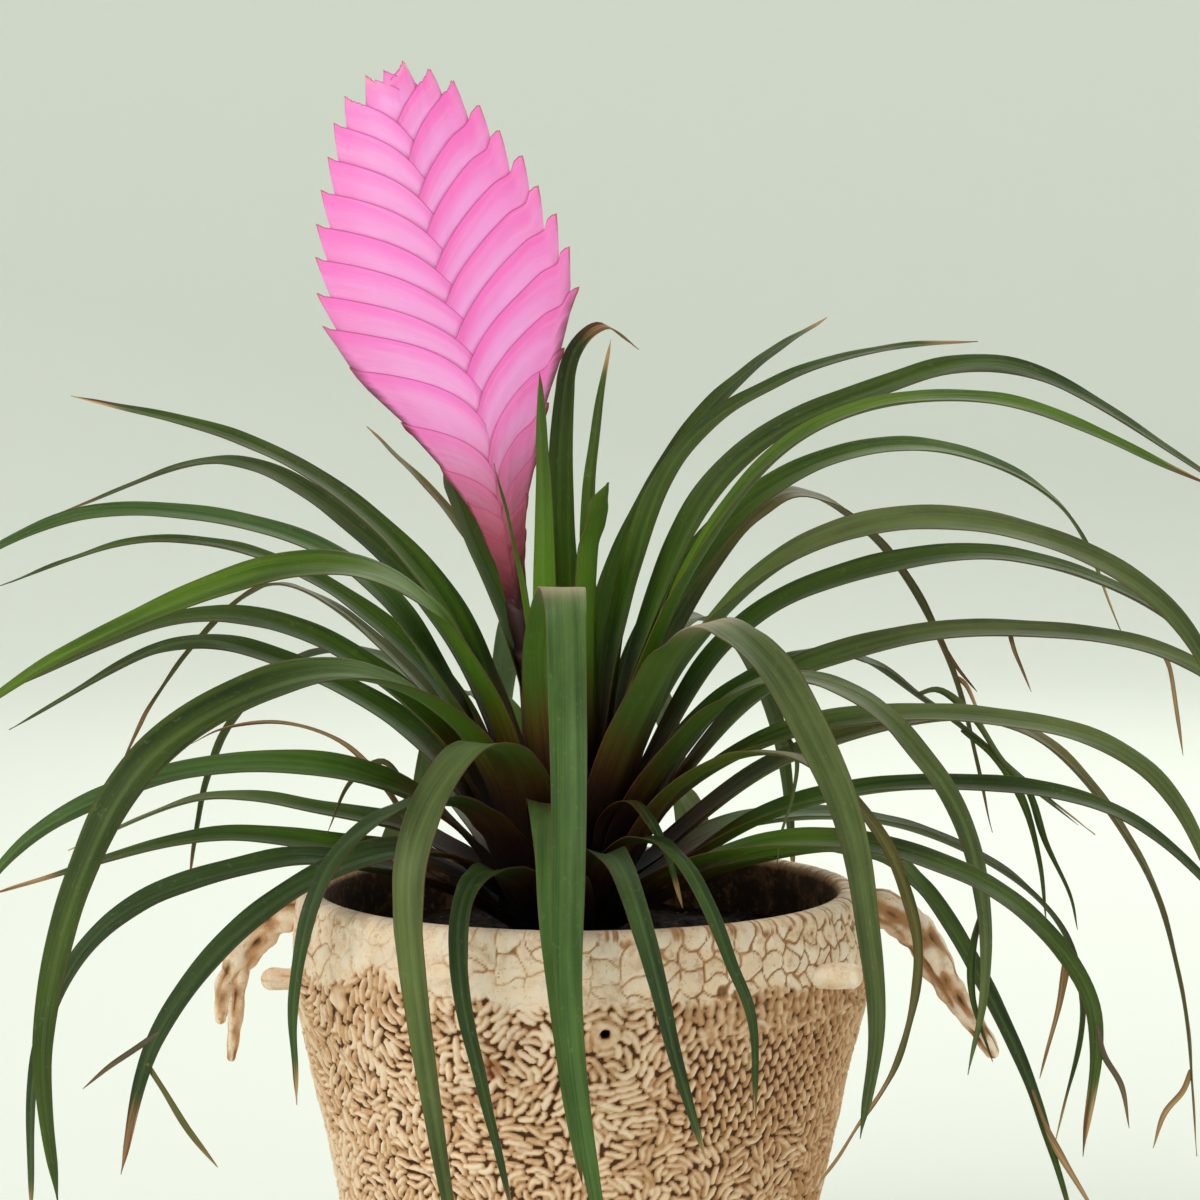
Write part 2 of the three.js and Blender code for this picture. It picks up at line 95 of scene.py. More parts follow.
# turn: the way the leaf grows, in degrees from +X towards the back.
# root: the height where it leaves the crown.
# lean: how far its upper face turns to its left, in degrees.  dry: share of its length where its tip browns.
# way: the points that it passes through, each its reach from the crown's axis, its height and its drift to
# the left.
# tip: 1 where it tapers to a point, 0 where it ends blunt.  worn: share of its length where it is scuffed.
LEAVES = {
    "left": (
        Leaf(168, 154, 9, 25, "deep", 0.93, ((32, 201), (55, 225), (84, 241), (129, 252))),
        Leaf(152, 150, 8, 25, "deep", 0.94, ((30, 188), (57, 215), (98, 234), (154, 219))),
        Leaf(130, 156, 5, 0, "olive", 0.95, ((14, 183), (24, 203, 1), (46, 224, 3), (74, 243, 6))),
        Leaf(189, 144, 10, 30, "teal", 1, ((28, 176), (56, 212), (115, 225), (154, 210))),
        Leaf(160, 142, 7, 20, "deep", 1, ((36, 181), (73, 207), (114, 214), (162, 200))),
        Leaf(206, 148, 12, 30, "bright", 1, ((23, 180), (44, 207), (73, 212), (130, 194), (154, 181))),
        Leaf(177, 139, 10, 25, "deep", 1, ((34, 170), (66, 193), (93, 197), (145, 177))),
        Leaf(169, 135, 9, 25, "deep", 1, ((40, 167), (80, 187), (100, 189), (146, 166))),
        Leaf(147, 139, 5, 0, "olive", 0.86, ((45, 178), (90, 202), (116, 186), (138, 160), (146, 144))),
        Leaf(218, 138.5, 13, 25, "deep", 1,
             ((24, 162), (48, 182), (77, 187), (120, 172), (139, 146), (150, 108), (147, 70))),
        Leaf(191, 130, 12, 25, "teal", 1, ((28, 146), (56, 159), (96, 160), (132, 146), (150, 126))),
        Leaf(166, 127, 7, 15, "grey", 0.9, ((35, 140), (62, 146), (94, 149), (133, 134))),
        Leaf(176, 124, 9, 20, "deep", 0.88, ((30, 134), (56, 138), (89, 141), (146, 126))),
        Leaf(204, 121, 9, 20, "shade", 0.97,
             ((30, 130), (56, 138), (75, 140), (119, 128), (136, 100), (139, 58))),
        Leaf(220, 127, 9, 20, "shade", 0.9, ((34, 140), (62, 142), (97, 130), (123, 106), (133, 76))),
    ),
    "right": (
        Leaf(13, 158, 8, -25, "deep", 0.93, ((15, 195), (30, 238), (56, 256), (83, 264), (108, 266))),
        Leaf(50, 156, 7, -25, "deep", 0.95, ((21, 207, -1), (49, 241), (78, 259), (109, 271))),
        Leaf(5, 154, 11, -30, "deep", 0.95, ((20, 189), (42, 234), (80, 254), (111, 260), (174, 226))),
        Leaf(342, 152, 10, -25, "bright", 0.95, ((34, 211), (64, 245), (108, 253), (163, 233))),
        Leaf(25, 150, 10, -25, "bright", 0.93, ((24, 190), (55, 226), (99, 238), (144, 222), (164, 187))),
        Leaf(335, 147, 12, -30, "grey", 1, ((35, 190), (65, 216), (105, 224), (153, 208), (180, 167))),
        Leaf(8, 143, 10, -25, "deep", 1, ((44, 192), (74, 207), (115, 211), (161, 191), (185, 150))),
        Leaf(352, 138, 11, -25, "grey", 1, ((49, 178), (72, 189), (106, 195), (157, 187), (186, 151))),
        Leaf(336, 132, 10, -25, "grey", 1, ((31, 154), (62, 171), (110, 177), (151, 167), (176, 122))),
        Leaf(346, 125, 9, -20, "deep", 1, ((53, 149), (95, 158), (140, 152), (183, 113))),
        Leaf(318, 123, 9, -20, "deep", 0.93,
             ((45, 140), (85, 149), (117, 147), (143, 138), (161, 120), (159, 85))),
        Leaf(337, 120.5, 8, -20, "deep", 0.97,
             ((45, 137), (84, 143), (96, 133), (109, 114), (121, 91), (134, 54))),
        Leaf(28, 127, 8, -15, "deep", 0.95, ((50, 141), (100, 138), (147, 112), (158, 87), (150, 49))),
        Leaf(10, 131, 8, -20, "olive", 0.93, ((60, 161), (116, 168), (150, 133), (162, 99), (167, 54))),
        Leaf(38, 146, 8, -20, "olive", 0.96, ((36, 194), (72, 226), (102, 214), (130, 180), (148, 130))),
        Leaf(23, 135, 7, -15, "deep", 0.93, ((40, 170), (75, 186), (102, 172), (138, 145), (153, 134))),
    ),
    "centre": (
        Leaf(78, 161, 9, -40, "deep", 0.86,
             ((9, 202, 3), (9, 244, 3), (12, 264, 0), (18, 270, -6), (25, 264, -14))),
        Leaf(250, 159, 7, 0, "bright", 0.97, ((14, 200), (15, 230), (17, 259.5))),
        Leaf(25, 163, 5, -40, "deep", 0.93, ((7, 204), (7, 227), (10, 252), (13, 267))),
        Leaf(318, 161, 11.5, -10, "bright", 1, ((9, 185), (9.5, 207), (11, 222), (15, 232)), 0.0),
        Leaf(158, 161, 14, 12, "deep", 1, ((10, 178), (15, 194), (25, 215), (33, 234)), 0.5),
        Leaf(222, 161, 4, 20, "deep", 0.95, ((12, 195), (17, 218), (23, 237))),
    ),
    "front": (
        Leaf(248, 136, 10, 0, "grey", 1,
             ((28, 162), (50, 171), (82, 162, 1), (97, 148, 2), (99, 126, 4), (99, 104, 7), (97, 74, 11),
              (95, 54, 14))),
        Leaf(266, 153, 10.3, 0, "teal", 1,
             ((22, 190, -2), (38, 208, 2.5), (70, 188, 6.5), (91, 148, 8.2), (94, 124, 8.4), (95, 102, 10.2),
              (95, 74, 14.5), (93, 50, 19)), 1.0, 0.262),
        Leaf(253, 123, 6, 0, "shade", 0.97,
             ((40, 137), (70, 142), (84, 134, 1), (90, 118, 4), (91, 98, 9), (90, 68, 16))),
        Leaf(271, 121, 6, 0, "shade", 0.95, ((38, 135), (68, 142), (81, 137), (86, 116, -1), (87, 96, -1))),
        Leaf(281, 125, 7, 0, "shade", 0.97,
             ((38, 141), (68, 146), (84, 139, 1), (90, 121, 5), (93, 103, 9), (93, 80, 16))),
        Leaf(293, 128, 5, 0, "shade", 0.95,
             ((40, 146), (70, 147), (83, 137, 2), (88, 125, 5), (91, 113, 9), (90, 86, 11))),
        Leaf(301, 132, 4, 0, "shade", 0.9, ((20, 149), (33, 155), (47, 146), (56, 132))),
        Leaf(308, 142, 12, -10, "grey", 1,
             ((30, 173), (56, 200), (77, 193), (95, 175), (107, 157), (113, 136), (117, 112), (112, 85)), 1.0,
             0.34),
        Leaf(324, 135, 9, -15, "grey", 1,
             ((30, 160), (59, 185), (87, 183), (104, 170), (115, 157), (121, 138), (122, 118), (118, 96))),
        Leaf(314, 130, 5, 0, "olive", 0.82,
             ((40, 158), (75, 170), (104, 156), (118, 130), (112, 102), (98, 82), (86, 66))),
        Leaf(234, 130, 7, 0, "shade", 0.95, ((34, 152), (66, 156), (92, 146), (104, 120), (104, 92))),
        Leaf(268, 138, 8, 0, "teal", 0.97,
             ((24, 152, -1), (42, 155, -1), (70, 148, -0.2), (84, 136, 0.8), (88, 117, 2.8), (88, 93, 5.2),
              (87, 74, 8))),
    ),
    "rear": (
        Leaf(66, 140, 9, 0, "deep", 0.97, ((45, 174), (80, 190), (118, 180), (148, 150), (160, 108))),
        Leaf(77, 133, 10, 0, "grey", 0.97, ((40, 160), (75, 172), (110, 165), (140, 138), (150, 98))),
        Leaf(98, 142, 11, 0, "teal", 0.97, ((42, 176), (78, 190), (115, 180), (144, 150), (156, 108))),
        Leaf(108, 134, 9, 0, "deep", 0.97, ((42, 160), (78, 170), (112, 160), (138, 130), (146, 90))),
        Leaf(134, 137, 6, 0, "deep", 0.95, ((40, 166), (75, 183), (112, 176), (140, 150), (153, 112))),
        Leaf(68, 123, 8, 0, "grey", 0.95, ((40, 138), (72, 146), (96, 134), (106, 108), (106, 78))),
        Leaf(120, 123, 8, 0, "deep", 0.95, ((40, 138), (72, 145), (94, 132), (104, 104), (103, 74))),
    ),
}
FAMILIES = tuple(LEAVES)

# Dry strands and forked ends, each growing from inside a leaf: the leaf, how far along it (from 0 to 1),
# width, tone, and the points that it passes through, in millimetres from where it starts: right, back, up.
Strand = namedtuple("Strand", "family number share width tone way")
STRANDS = (
    Strand("left", 15, 0.83, 2.4, "olive", ((4, -1, -6), (9.5, -1.5, -15), (16.5, -2, -24))),
    Strand("left", 15, 0.78, 1.7, "brown", ((-6, -1, -4), (-12, -2, -8), (-18, -3, -13))),
    Strand("left", 12, 0.22, 1.8, "tan",
           ((-7, 3, 11), (-18, 8, 22), (-34, 12, 27), (-50, 15, 25), (-58, 16, 21))),
    Strand("left", 12, 0.2, 2.0, "olive", ((-4, -3, 12), (-10, -4, 20), (-18, -5, 15), (-24, -6, 2))),
    Strand("right", 8, 0.735, 1.5, "tan", ((2, 3, -4), (4, 5, -14), (6, 6, -26))),
    Strand("right", 15, 0.74, 1.6, "tan", ((3, 1, -5), (7, 2, -11), (12, 3, -17))),
    Strand("right", 15, 0.8, 1.4, "tan", ((3, 0, -2), (6, 0, -8), (9, 0, -16))),
    Strand("right", 8, 0.56, 1.3, "tan", ((1, -2, -4), (3, -3, -9), (5, -4, -14))),
    Strand("right", 16, 0.72, 2.6, "deep", ((8, 2, -7), (16, 4, -19), (21, 5, -36), (23, 6, -52))),
    Strand("right", 16, 0.8, 2.2, "deep", ((7, 2, -8), (12, 4, -22), (19, 5, -37), (21, 6, -46))),
    Strand("right", 16, 0.62, 2.2, "grey",
           ((6, 3, 1), (15, 5, -6), (24, 8, -19), (33, 10, -27), (44, 12, -36))),
    Strand("right", 13, 0.74, 2.4, "tan", ((-1, -1, -6), (-3, -2, -17), (-6, -3, -28), (-8, -3, -36))),
    Strand("right", 12, 0.8, 2.2, "tan", ((3, -1, -8), (8, -2, -17), (14, -3, -27), (17, -3, -33))),
    Strand("right", 14, 0.9, 2.0, "tan", ((-2, -1, -5), (-7, -2, -11), (-10, -3, -20))),
    Strand("right", 11, 0.84, 1.8, "brown", ((2, 0, -7), (6, 0, -14), (8, 1, -24))),
    Strand("front", 9, 0.8, 2.2, "deep", ((-2, 0, -8), (-2, 1, -20), (3, 2, -36))),
    Strand("right", 9, 0.3, 1.3, "grey", ((2, -2, -5), (1, -3, -14), (-2, -4, -24), (-3, -5, -32))),
)


# ---- Curves and surfaces ----
SPAN_STEPS = 80  # steps of a curve between two of its points


def smooth(x, low, high):
    """0 below low, 1 above high, eased between them."""
    t = np.clip((np.asarray(x, float) - low) / (high - low), 0, 1)
    return t * t * (3 - 2 * t)


def mix(a, b, share):
    return a + (b - a) * share


def radius_at(profile, height):
    radii, heights = zip(*profile)
    return np.interp(height, heights, radii)


def unit(vectors):
    return vectors / np.linalg.norm(vectors, axis=-1, keepdims=True)


def curve(points, count):
    """Equal steps along a smooth curve through the points, and its length."""
    points = np.asarray(points, float)
    ends = np.vstack([2 * points[0] - points[1], points, 2 * points[-1] - points[-2]])
    spans = [max(np.linalg.norm(b - a) ** 0.5, 1e-3) for a, b in zip(ends, ends[1:])]
    track = []
    for i in range(len(points) - 1):
        before, start, end, after = ends[i : i + 4]
        d0, d1, d2 = spans[i : i + 3]
        leave = ((start - before) / d0 - (end - before) / (d0 + d1) + (end - start) / d1) * d1
        arrive = ((end - start) / d1 - (after - start) / (d1 + d2) + (after - end) / d2) * d1
        t = np.linspace(0, 1, SPAN_STEPS, endpoint=i == len(points) - 2)[:, None]
        track.append(start + leave * t + (3 * (end - start) - 2 * leave - arrive) * t**2
                     + (2 * (start - end) + leave + arrive) * t**3)
    track = np.vstack(track)
    run = np.concatenate([[0], np.cumsum(np.linalg.norm(np.diff(track, axis=0), axis=1))])
    steps = np.linspace(0, run[-1], count)
    return np.stack([np.interp(steps, run, part) for part in track.T], 1), run[-1]


def turns(count):
    """Equal steps once round, in radians."""
    return np.arange(count) / count * 2 * np.pi


def stacked(*parts):
    """The parts of vectors, spread to one shape and put side by side."""
    return np.stack(np.broadcast_arrays(*parts), -1)


def turned(radius, angle, height):
    """Points round the upright axis through the origin."""
    return stacked(radius * np.cos(angle), radius * np.sin(angle), height)


def frames(track):
    """The ways across a line and over it."""
    along = unit(np.gradient(track, axis=0))
    across = unit(np.cross((0, 1, 0), along))
    return across, np.cross(along, across)


def hoops(track, across, over, beside, above):
    """Rings of points round a line, from how far each is beside the line and above it."""
    return track[:, None] + across[:, None] * beside[..., None] + over[:, None] * above[..., None]


def random_for(what, number=0):
    return np.random.default_rng(SEEDS[what] + number)


def ripple(rng, x, waves, strength=1.0):
    """A smooth random line over x, from a few waves of the given lengths."""
    x = np.asarray(x, float)
    return strength * sum(np.sin(2 * np.pi * (x / wave + rng.random())) for wave in waves) / len(waves)


class Body:
    """Gathers closed shells for one piece, with values at their points for its finish."""

    def __init__(self):
        self.points, self.faces, self.values, self.count = [], [], {}, 0

    def add(self, rings, values=None, caps=True):
        """Joins rings of equally many points, in order. Values hold a number or a vector for each point."""
        rows, across = rings.shape[:2]
        here = np.arange(rows * across).reshape(rows, across)
        there = np.roll(here, -1, 1)
        quads = np.stack([here[:-1], there[:-1], there[1:], here[1:]], -1).reshape(-1, 4)
        points = rings.reshape(-1, 3)
        middle = points.mean(0) if caps else 0
        a, b, c, d = (points[quads[:, i]] - middle for i in range(4))
        inward = np.einsum("ij,ij->", a, np.cross(b, c)) + np.einsum("ij,ij->", a, np.cross(c, d)) < 0
        faces = quads.tolist()
        if caps:
            faces += [here[0][::-1].tolist(), here[-1].tolist()]
        self.faces += [[i + self.count for i in (face[::-1] if inward else face)] for face in faces]
        self.points.append(points)
        for name, value in (values or {}).items():
            value = np.asarray(value, float)
            size = value.shape[-1:] if value.ndim in (1, 3) else ()
            spread = np.broadcast_to(value, (rows, across) + size).reshape((-1,) + size)
            self.values.setdefault(name, []).append(spread)
        self.count += len(points)

    def build(self, name, finish, crease=None):
        """Makes the Blender object."""
        mesh = bpy.data.meshes.new(name)
        mesh.from_pydata(np.vstack(self.points) * MM, [], self.faces)
        kinds = {1: ("FLOAT", "value"), 2: ("FLOAT_VECTOR", "vector")}
        for label, parts in self.values.items():
            value = np.concatenate(parts)
            kind, field = kinds[value.ndim]
            layer = mesh.attributes.new(label, kind, "POINT")
            layer.data.foreach_set(field, value.astype(np.float32).ravel())
        mesh.shade_smooth()
        if crease is not None:
            mesh.set_sharp_from_angle(angle=crease)
        mesh.materials.append(finish)
        mesh.validate()
        made = bpy.data.objects.new(name, mesh)
        bpy.context.scene.collection.objects.link(made)
        return made

    def piece(self, name, finish, nodes, crease=None):
        """Makes the object, rides it on the root body and lets it stand for its solids."""
        made = self.build(name, finish, crease)
        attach(made, "root")
        if nodes:
            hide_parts(*nodes)


# ---- Finishes ----
def maths(operation, reflected=False):
    """An operator of Wire, which adds one Math node."""

    def apply(self, other):
        terms = (other, self) if reflected else (self, other)
        return self.finish.node("Math", {"operation": operation}, dict(enumerate(terms)))

    return apply


class Wire:
    """A node's output, so that shader maths reads as sums."""

    def __init__(self, finish, socket):
        self.finish, self.socket = finish, socket

    __add__, __radd__ = maths("ADD"), maths("ADD", True)
    __sub__, __rsub__ = maths("SUBTRACT"), maths("SUBTRACT", True)
    __mul__, __rmul__ = maths("MULTIPLY"), maths("MULTIPLY", True)
    __pow__, __rpow__ = maths("POWER"), maths("POWER", True)


class Finish:
    """One material and the few kinds of node that these finishes use.

    own: true where the noise lies over the object itself, and not over the places that its mesh stores.
    """

    def __init__(self, name, own=True):
        self.own, self.material = own, bpy.data.materials.new(name)
        self.material.use_nodes = True
        self.tree = self.material.node_tree
        self.tree.nodes.clear()

    @cached_property
    def place(self):
        return self.node("TexCoord", output="Object") if self.own else self.vector("place")

    def node(self, kind, settings=None, sockets=None, output=0):
        """Adds a node: its settings first, then the values or links of its sockets."""
        made = self.tree.nodes.new("ShaderNode" + kind)
        for label, value in (settings or {}).items():
            setattr(made, label, value)
        for socket, value in (sockets or {}).items():
            if isinstance(value, Wire):
                self.tree.links.new(value.socket, made.inputs[socket])
            else:
                made.inputs[socket].default_value = value
        return Wire(self, made.outputs[output] if made.outputs else None)

    def value(self, name):
        """What the mesh stores under that name, as a number."""
        return self.node("Attribute", {"attribute_name": name}, output="Fac")

    def vector(self, name):
        """What the mesh stores under that name, as a vector."""
        return self.node("Attribute", {"attribute_name": name}, output="Vector")

    def noise(self, scale, detail=2.0, rough=0.5, twist=0.0):
        """Noise over the place. Three scales stretch it, one for each direction."""
        place = self.place
        if isinstance(scale, tuple):
            place, scale = self.node("VectorMath", {"operation": "MULTIPLY"}, {0: place, 1: scale}), 1
        sockets = {"Vector": place, "Scale": scale, "Detail": detail, "Roughness": rough, "Distortion": twist}
        return self.node("TexNoise", None, sockets)

    def ease(self, x, low, high):
        """0 below low, 1 above high, eased between them."""
        sockets = {"Value": x, "From Min": low, "From Max": high}
        return self.node("MapRange", {"interpolation_type": "SMOOTHSTEP"}, sockets)

    def blend(self, share, a, b):
        """Colour a turning into b."""
        a, b = (c if isinstance(c, Wire) else (*c, 1) for c in (a, b))
        return self.node("Mix", {"data_type": "RGBA"}, {0: share, 6: a, 7: b}, output=2)

    def paint(self, colour, *layers):
        """Lays colours over a first one, each with its share."""
        for share, over in layers:
            colour = self.blend(share, colour, over)
        return colour

    def bump(self, height, distance, strength):
        return self.node("Bump", None, {"Height": height, "Distance": distance, "Strength": strength})

    def close(self, colour, roughness, normal=None, **constants):
        """Ends the material in its surface shader."""
        sockets = {"Base Color": colour, "Roughness": roughness}
        if normal is not None:
            sockets["Normal"] = normal
        sockets.update({label.replace("_", " "): value for label, value in constants.items()})
        self.node("OutputMaterial", None, {"Surface": self.node("BsdfPrincipled", None, sockets)})
        return self.material


def tint(r, g, b):
    """A colour given as screen values from 0 to 255, as the shader's linear numbers."""
    return tuple((v / 255 / 12.92) if v < 10.3 else ((v / 255 + 0.055) / 1.055) ** 2.4 for v in (r, g, b))


# Leaf colours: the lighter one, the darker one, and how far the leaf turns fresh green near the crown.
TONES = {
    "deep": (tint(72, 92, 27), tint(30, 44, 12), 0.75),
    "bright": (tint(92, 122, 27), tint(44, 67, 11), 0.9),
    "teal": (tint(84, 114, 52), tint(42, 66, 27), 0.5),
    "shade": (tint(64, 86, 40), tint(27, 40, 17), 0.15),
    "grey": (tint(100, 113, 60), tint(52, 63, 28), 0.45),
    "olive": (tint(112, 102, 48), tint(62, 58, 22), 0.45),
}


# ---- Settings ----
def colour_setting(label, text, value):
    return bpy.props.FloatVectorProperty(name=label, description=text, default=value, size=3, min=0, max=1,
                                         subtype="COLOR")


def size_setting(label, text, value):
    return bpy.props.FloatProperty(name=label, description=text, default=value * MM, min=0, unit="LENGTH",
                                   precision=4)


class PotSettings(bpy.types.PropertyGroup):
    """The cast pot and its knotted relief."""

    relief: size_setting("Relief", "How far the grains stand out of the pot's wall", 1.9)
    grain_length: size_setting("Grain length", "Length of one grain of the relief", 7.2)
    grain_width: size_setting("Grain width", "Width of one grain of the relief", 1.8)
    craze_depth: size_setting("Craze depth", "Depth of the lines in the smooth collar", 0.6)
    cream: colour_setting("Cream", "Colour of the raised parts", tint(255, 228, 198))
    tan: colour_setting("Tan", "Colour of the sides of the grains", tint(216, 168, 124))
    # The groove colour stands partly for the cast finish's own darker hollows and partly for painted shade
    # down in the relief.
    groove: colour_setting("Groove", "Colour down in the relief", tint(76, 45, 24))


class LeafSettings(bpy.types.PropertyGroup):
    """The strap leaves."""

    thickness: size_setting("Thickness", "Thickness along a leaf's middle", 0.9)
    edge: size_setting("Edge", "Thickness along a leaf's margins", 0.3)
    wave: size_setting("Wave", "How far the margins ripple", 0.25)
    sheath: size_setting("Sheath", "Length of the sheath that clasps the crown", 22)
    # The sheath colour stands partly for the sheaths' own dark brown and partly for painted shade round the
    # heart.
    base: colour_setting("Base", "Colour of the sheaths", tint(18, 8, 5))
    fresh: colour_setting("Fresh", "Colour of the young part near the crown", tint(96, 138, 14))
    margin: colour_setting("Margin", "Colour of the thin margins", tint(96, 66, 44))


class QuillSettings(bpy.types.PropertyGroup):
    """The pink quill."""

    wall: size_setting("Wall", "Thickness of a bract", 0.5)
    # rim and lower: a bract pales from its upper edge downwards, partly its own colour and partly a painted
    # sheen on its puffed lower part.
    rim: colour_setting("Rim", "Colour of a bract's upper part", tint(250, 116, 200))
    lower: colour_setting("Lower", "Colour of a bract's lower part", tint(255, 164, 232))
    seam: colour_setting("Seam", "Colour along a bract's upper edge", tint(176, 70, 130))
    tip: colour_setting("Tip", "Colour of the dry edge of a tooth", tint(190, 112, 78))
    foot: colour_setting("Foot", "Colour of the margins at the foot", tint(104, 40, 34))


class StageSettings(bpy.types.PropertyGroup):
    """The floor, the lights and the camera."""

    floor: colour_setting("Floor", "Colour of the floor", tint(226, 230, 222))
    sky: bpy.props.FloatProperty(name="Sky", description="Strength of the light from all round", default=0.36,
                                 min=0)
    key: bpy.props.FloatProperty(name="Key", description="Power of the main lamp", default=15.5, min=0,
                                 unit="POWER")


# ---- Cast pot ----
FIELD_STEP = 0.3  # millimetres between the samples of the relief
FIELD_RADIUS = 64  # radius at which the relief is laid out flat
FIELD_TOP = 121
FLOW_WAVES = 26  # waves that are summed to turn the grains one way and another
TRACE_STEP = 0.6  # length of one step along a grain
# Room that a grain needs from the others, as a share of its width: along its way, to start, and a low one.
ROOM_ALONG, ROOM, ROOM_LOW = 0.76, 0.77, 0.74
WALL_RADIUS = 70  # radius at which distances on the wall are measured
GRAINS_END = 112.6  # height where the smooth collar begins
COLUMNS = 960
# Bands of the wall, each its own piece: from height, to height, rows.
POT_BANDS = {"lower": (0, 38, 77), "middle": (38, 75, 76), "upper": (75, 111, 76), "collar": (111, 127, 36)}
FOOT_SHARES = (0.02, 0.5, 0.965)  # radii of the rings under the foot, as shares of its own
LIP_TOP = 128.4  # the relief of the rim is read no higher than this
# Where the grains lie one way or spread from a point: angle, height, reach, and the slant in degrees or None.
LAYS = ((-79.5, 83, 6, 4), (-104, 76, 9, -6), (-139, 103, 10, 76), (-73, 104, 7, 62), (-98, 90, 6, 60),
        (-87.5, 99.5, 6, None), (-113.5, 104, 7, None), (-126, 84, 8, None), (-133, 113, 6, 82))
# Panels of short grains in columns: from angle, to angle, from height, to height, and how coarse they are.
KNITS = ((293, 346, 79, 103, 1), (291, 336, 106.5, 114, 1.45), (20, 62, 40, 100, 1), (118, 160, 60, 108, 1))
# Spots of the wall: angle, height.
PATCH = (-144, 109)
EYELET = (-85, 106)
HOLLOW = (-107, 97)
BARE = ((*PATCH, 3.0), (*EYELET, 2.1))  # spots that the grains keep clear of, with radii
# Smooth raised bands: height, from angle, to angle.
BANDS = ((113.2, 264, 288), (104.4, 290, 345), (112.5, 30, 78), (106, 128, 172))
# Small pits in the collar: angle, height, radius.
PITS = ((334, 124.6, 0.9), (338.5, 126.3, 0.8), (341, 123.2, 1.0), (329, 126.6, 0.7), (346, 125.5, 0.9),
        (336, 121, 0.7), (351, 122.4, 0.8), (322, 125.2, 0.6), (208, 124, 0.7), (214, 121.5, 0.6))

TWIG_STEPS = 200  # samples of an arm's curve
# Arms and pegs: the points that each passes through (right, back, up), its radii, rows, sides, roughness, and
# how much paler it is.
ARMS = (
    (((-67.5, 0, 122.5), (-72, 0, 123.5), (-78, 0, 121), (-85, 0, 113), (-88.2, 0, 106)),
     (4.8, 4.4, 4.2, 3.9, 3.2), 48, 20, 0.14, 0),
    (((-86, 0, 111), (-89.5, 0, 104), (-91, 0, 94.5)), (2.8, 2.3, 1.0), 24, 14, 0.14, 0),
    (((-85.4, 0, 112), (-86.8, 0, 99), (-88.2, 0, 85)), (2.8, 2.0, 1.1), 30, 14, 0.14, 0),
    (((67.5, 0, 123.5), (72.5, 0, 125), (80, 0, 122), (88, 0, 113), (95, 0, 101), (102, 0, 91), (105, 0, 86)),
     (5.0, 4.6, 4.2, 3.4, 2.6, 1.5), 60, 20, 0.14, 0),
    (((-67.5, 0, 106), (-74, 0, 105.8), (-80.5, 0, 106.2)), (2.4, 2.6, 2.9), 30, 20, 0.08, 0.4),
    (((53, -42, 113.4), (60.5, -42.3, 114.8), (68.5, -42, 114.2)), (1.9, 3.2, 2.8), 30, 20, 0.07, 0.9),
)


def round_about(angle):
    """Millimetres round the pot, on the flat layout, for an angle in degrees."""
    return (angle % 360) / 360 * 2 * np.pi * FIELD_RADIUS


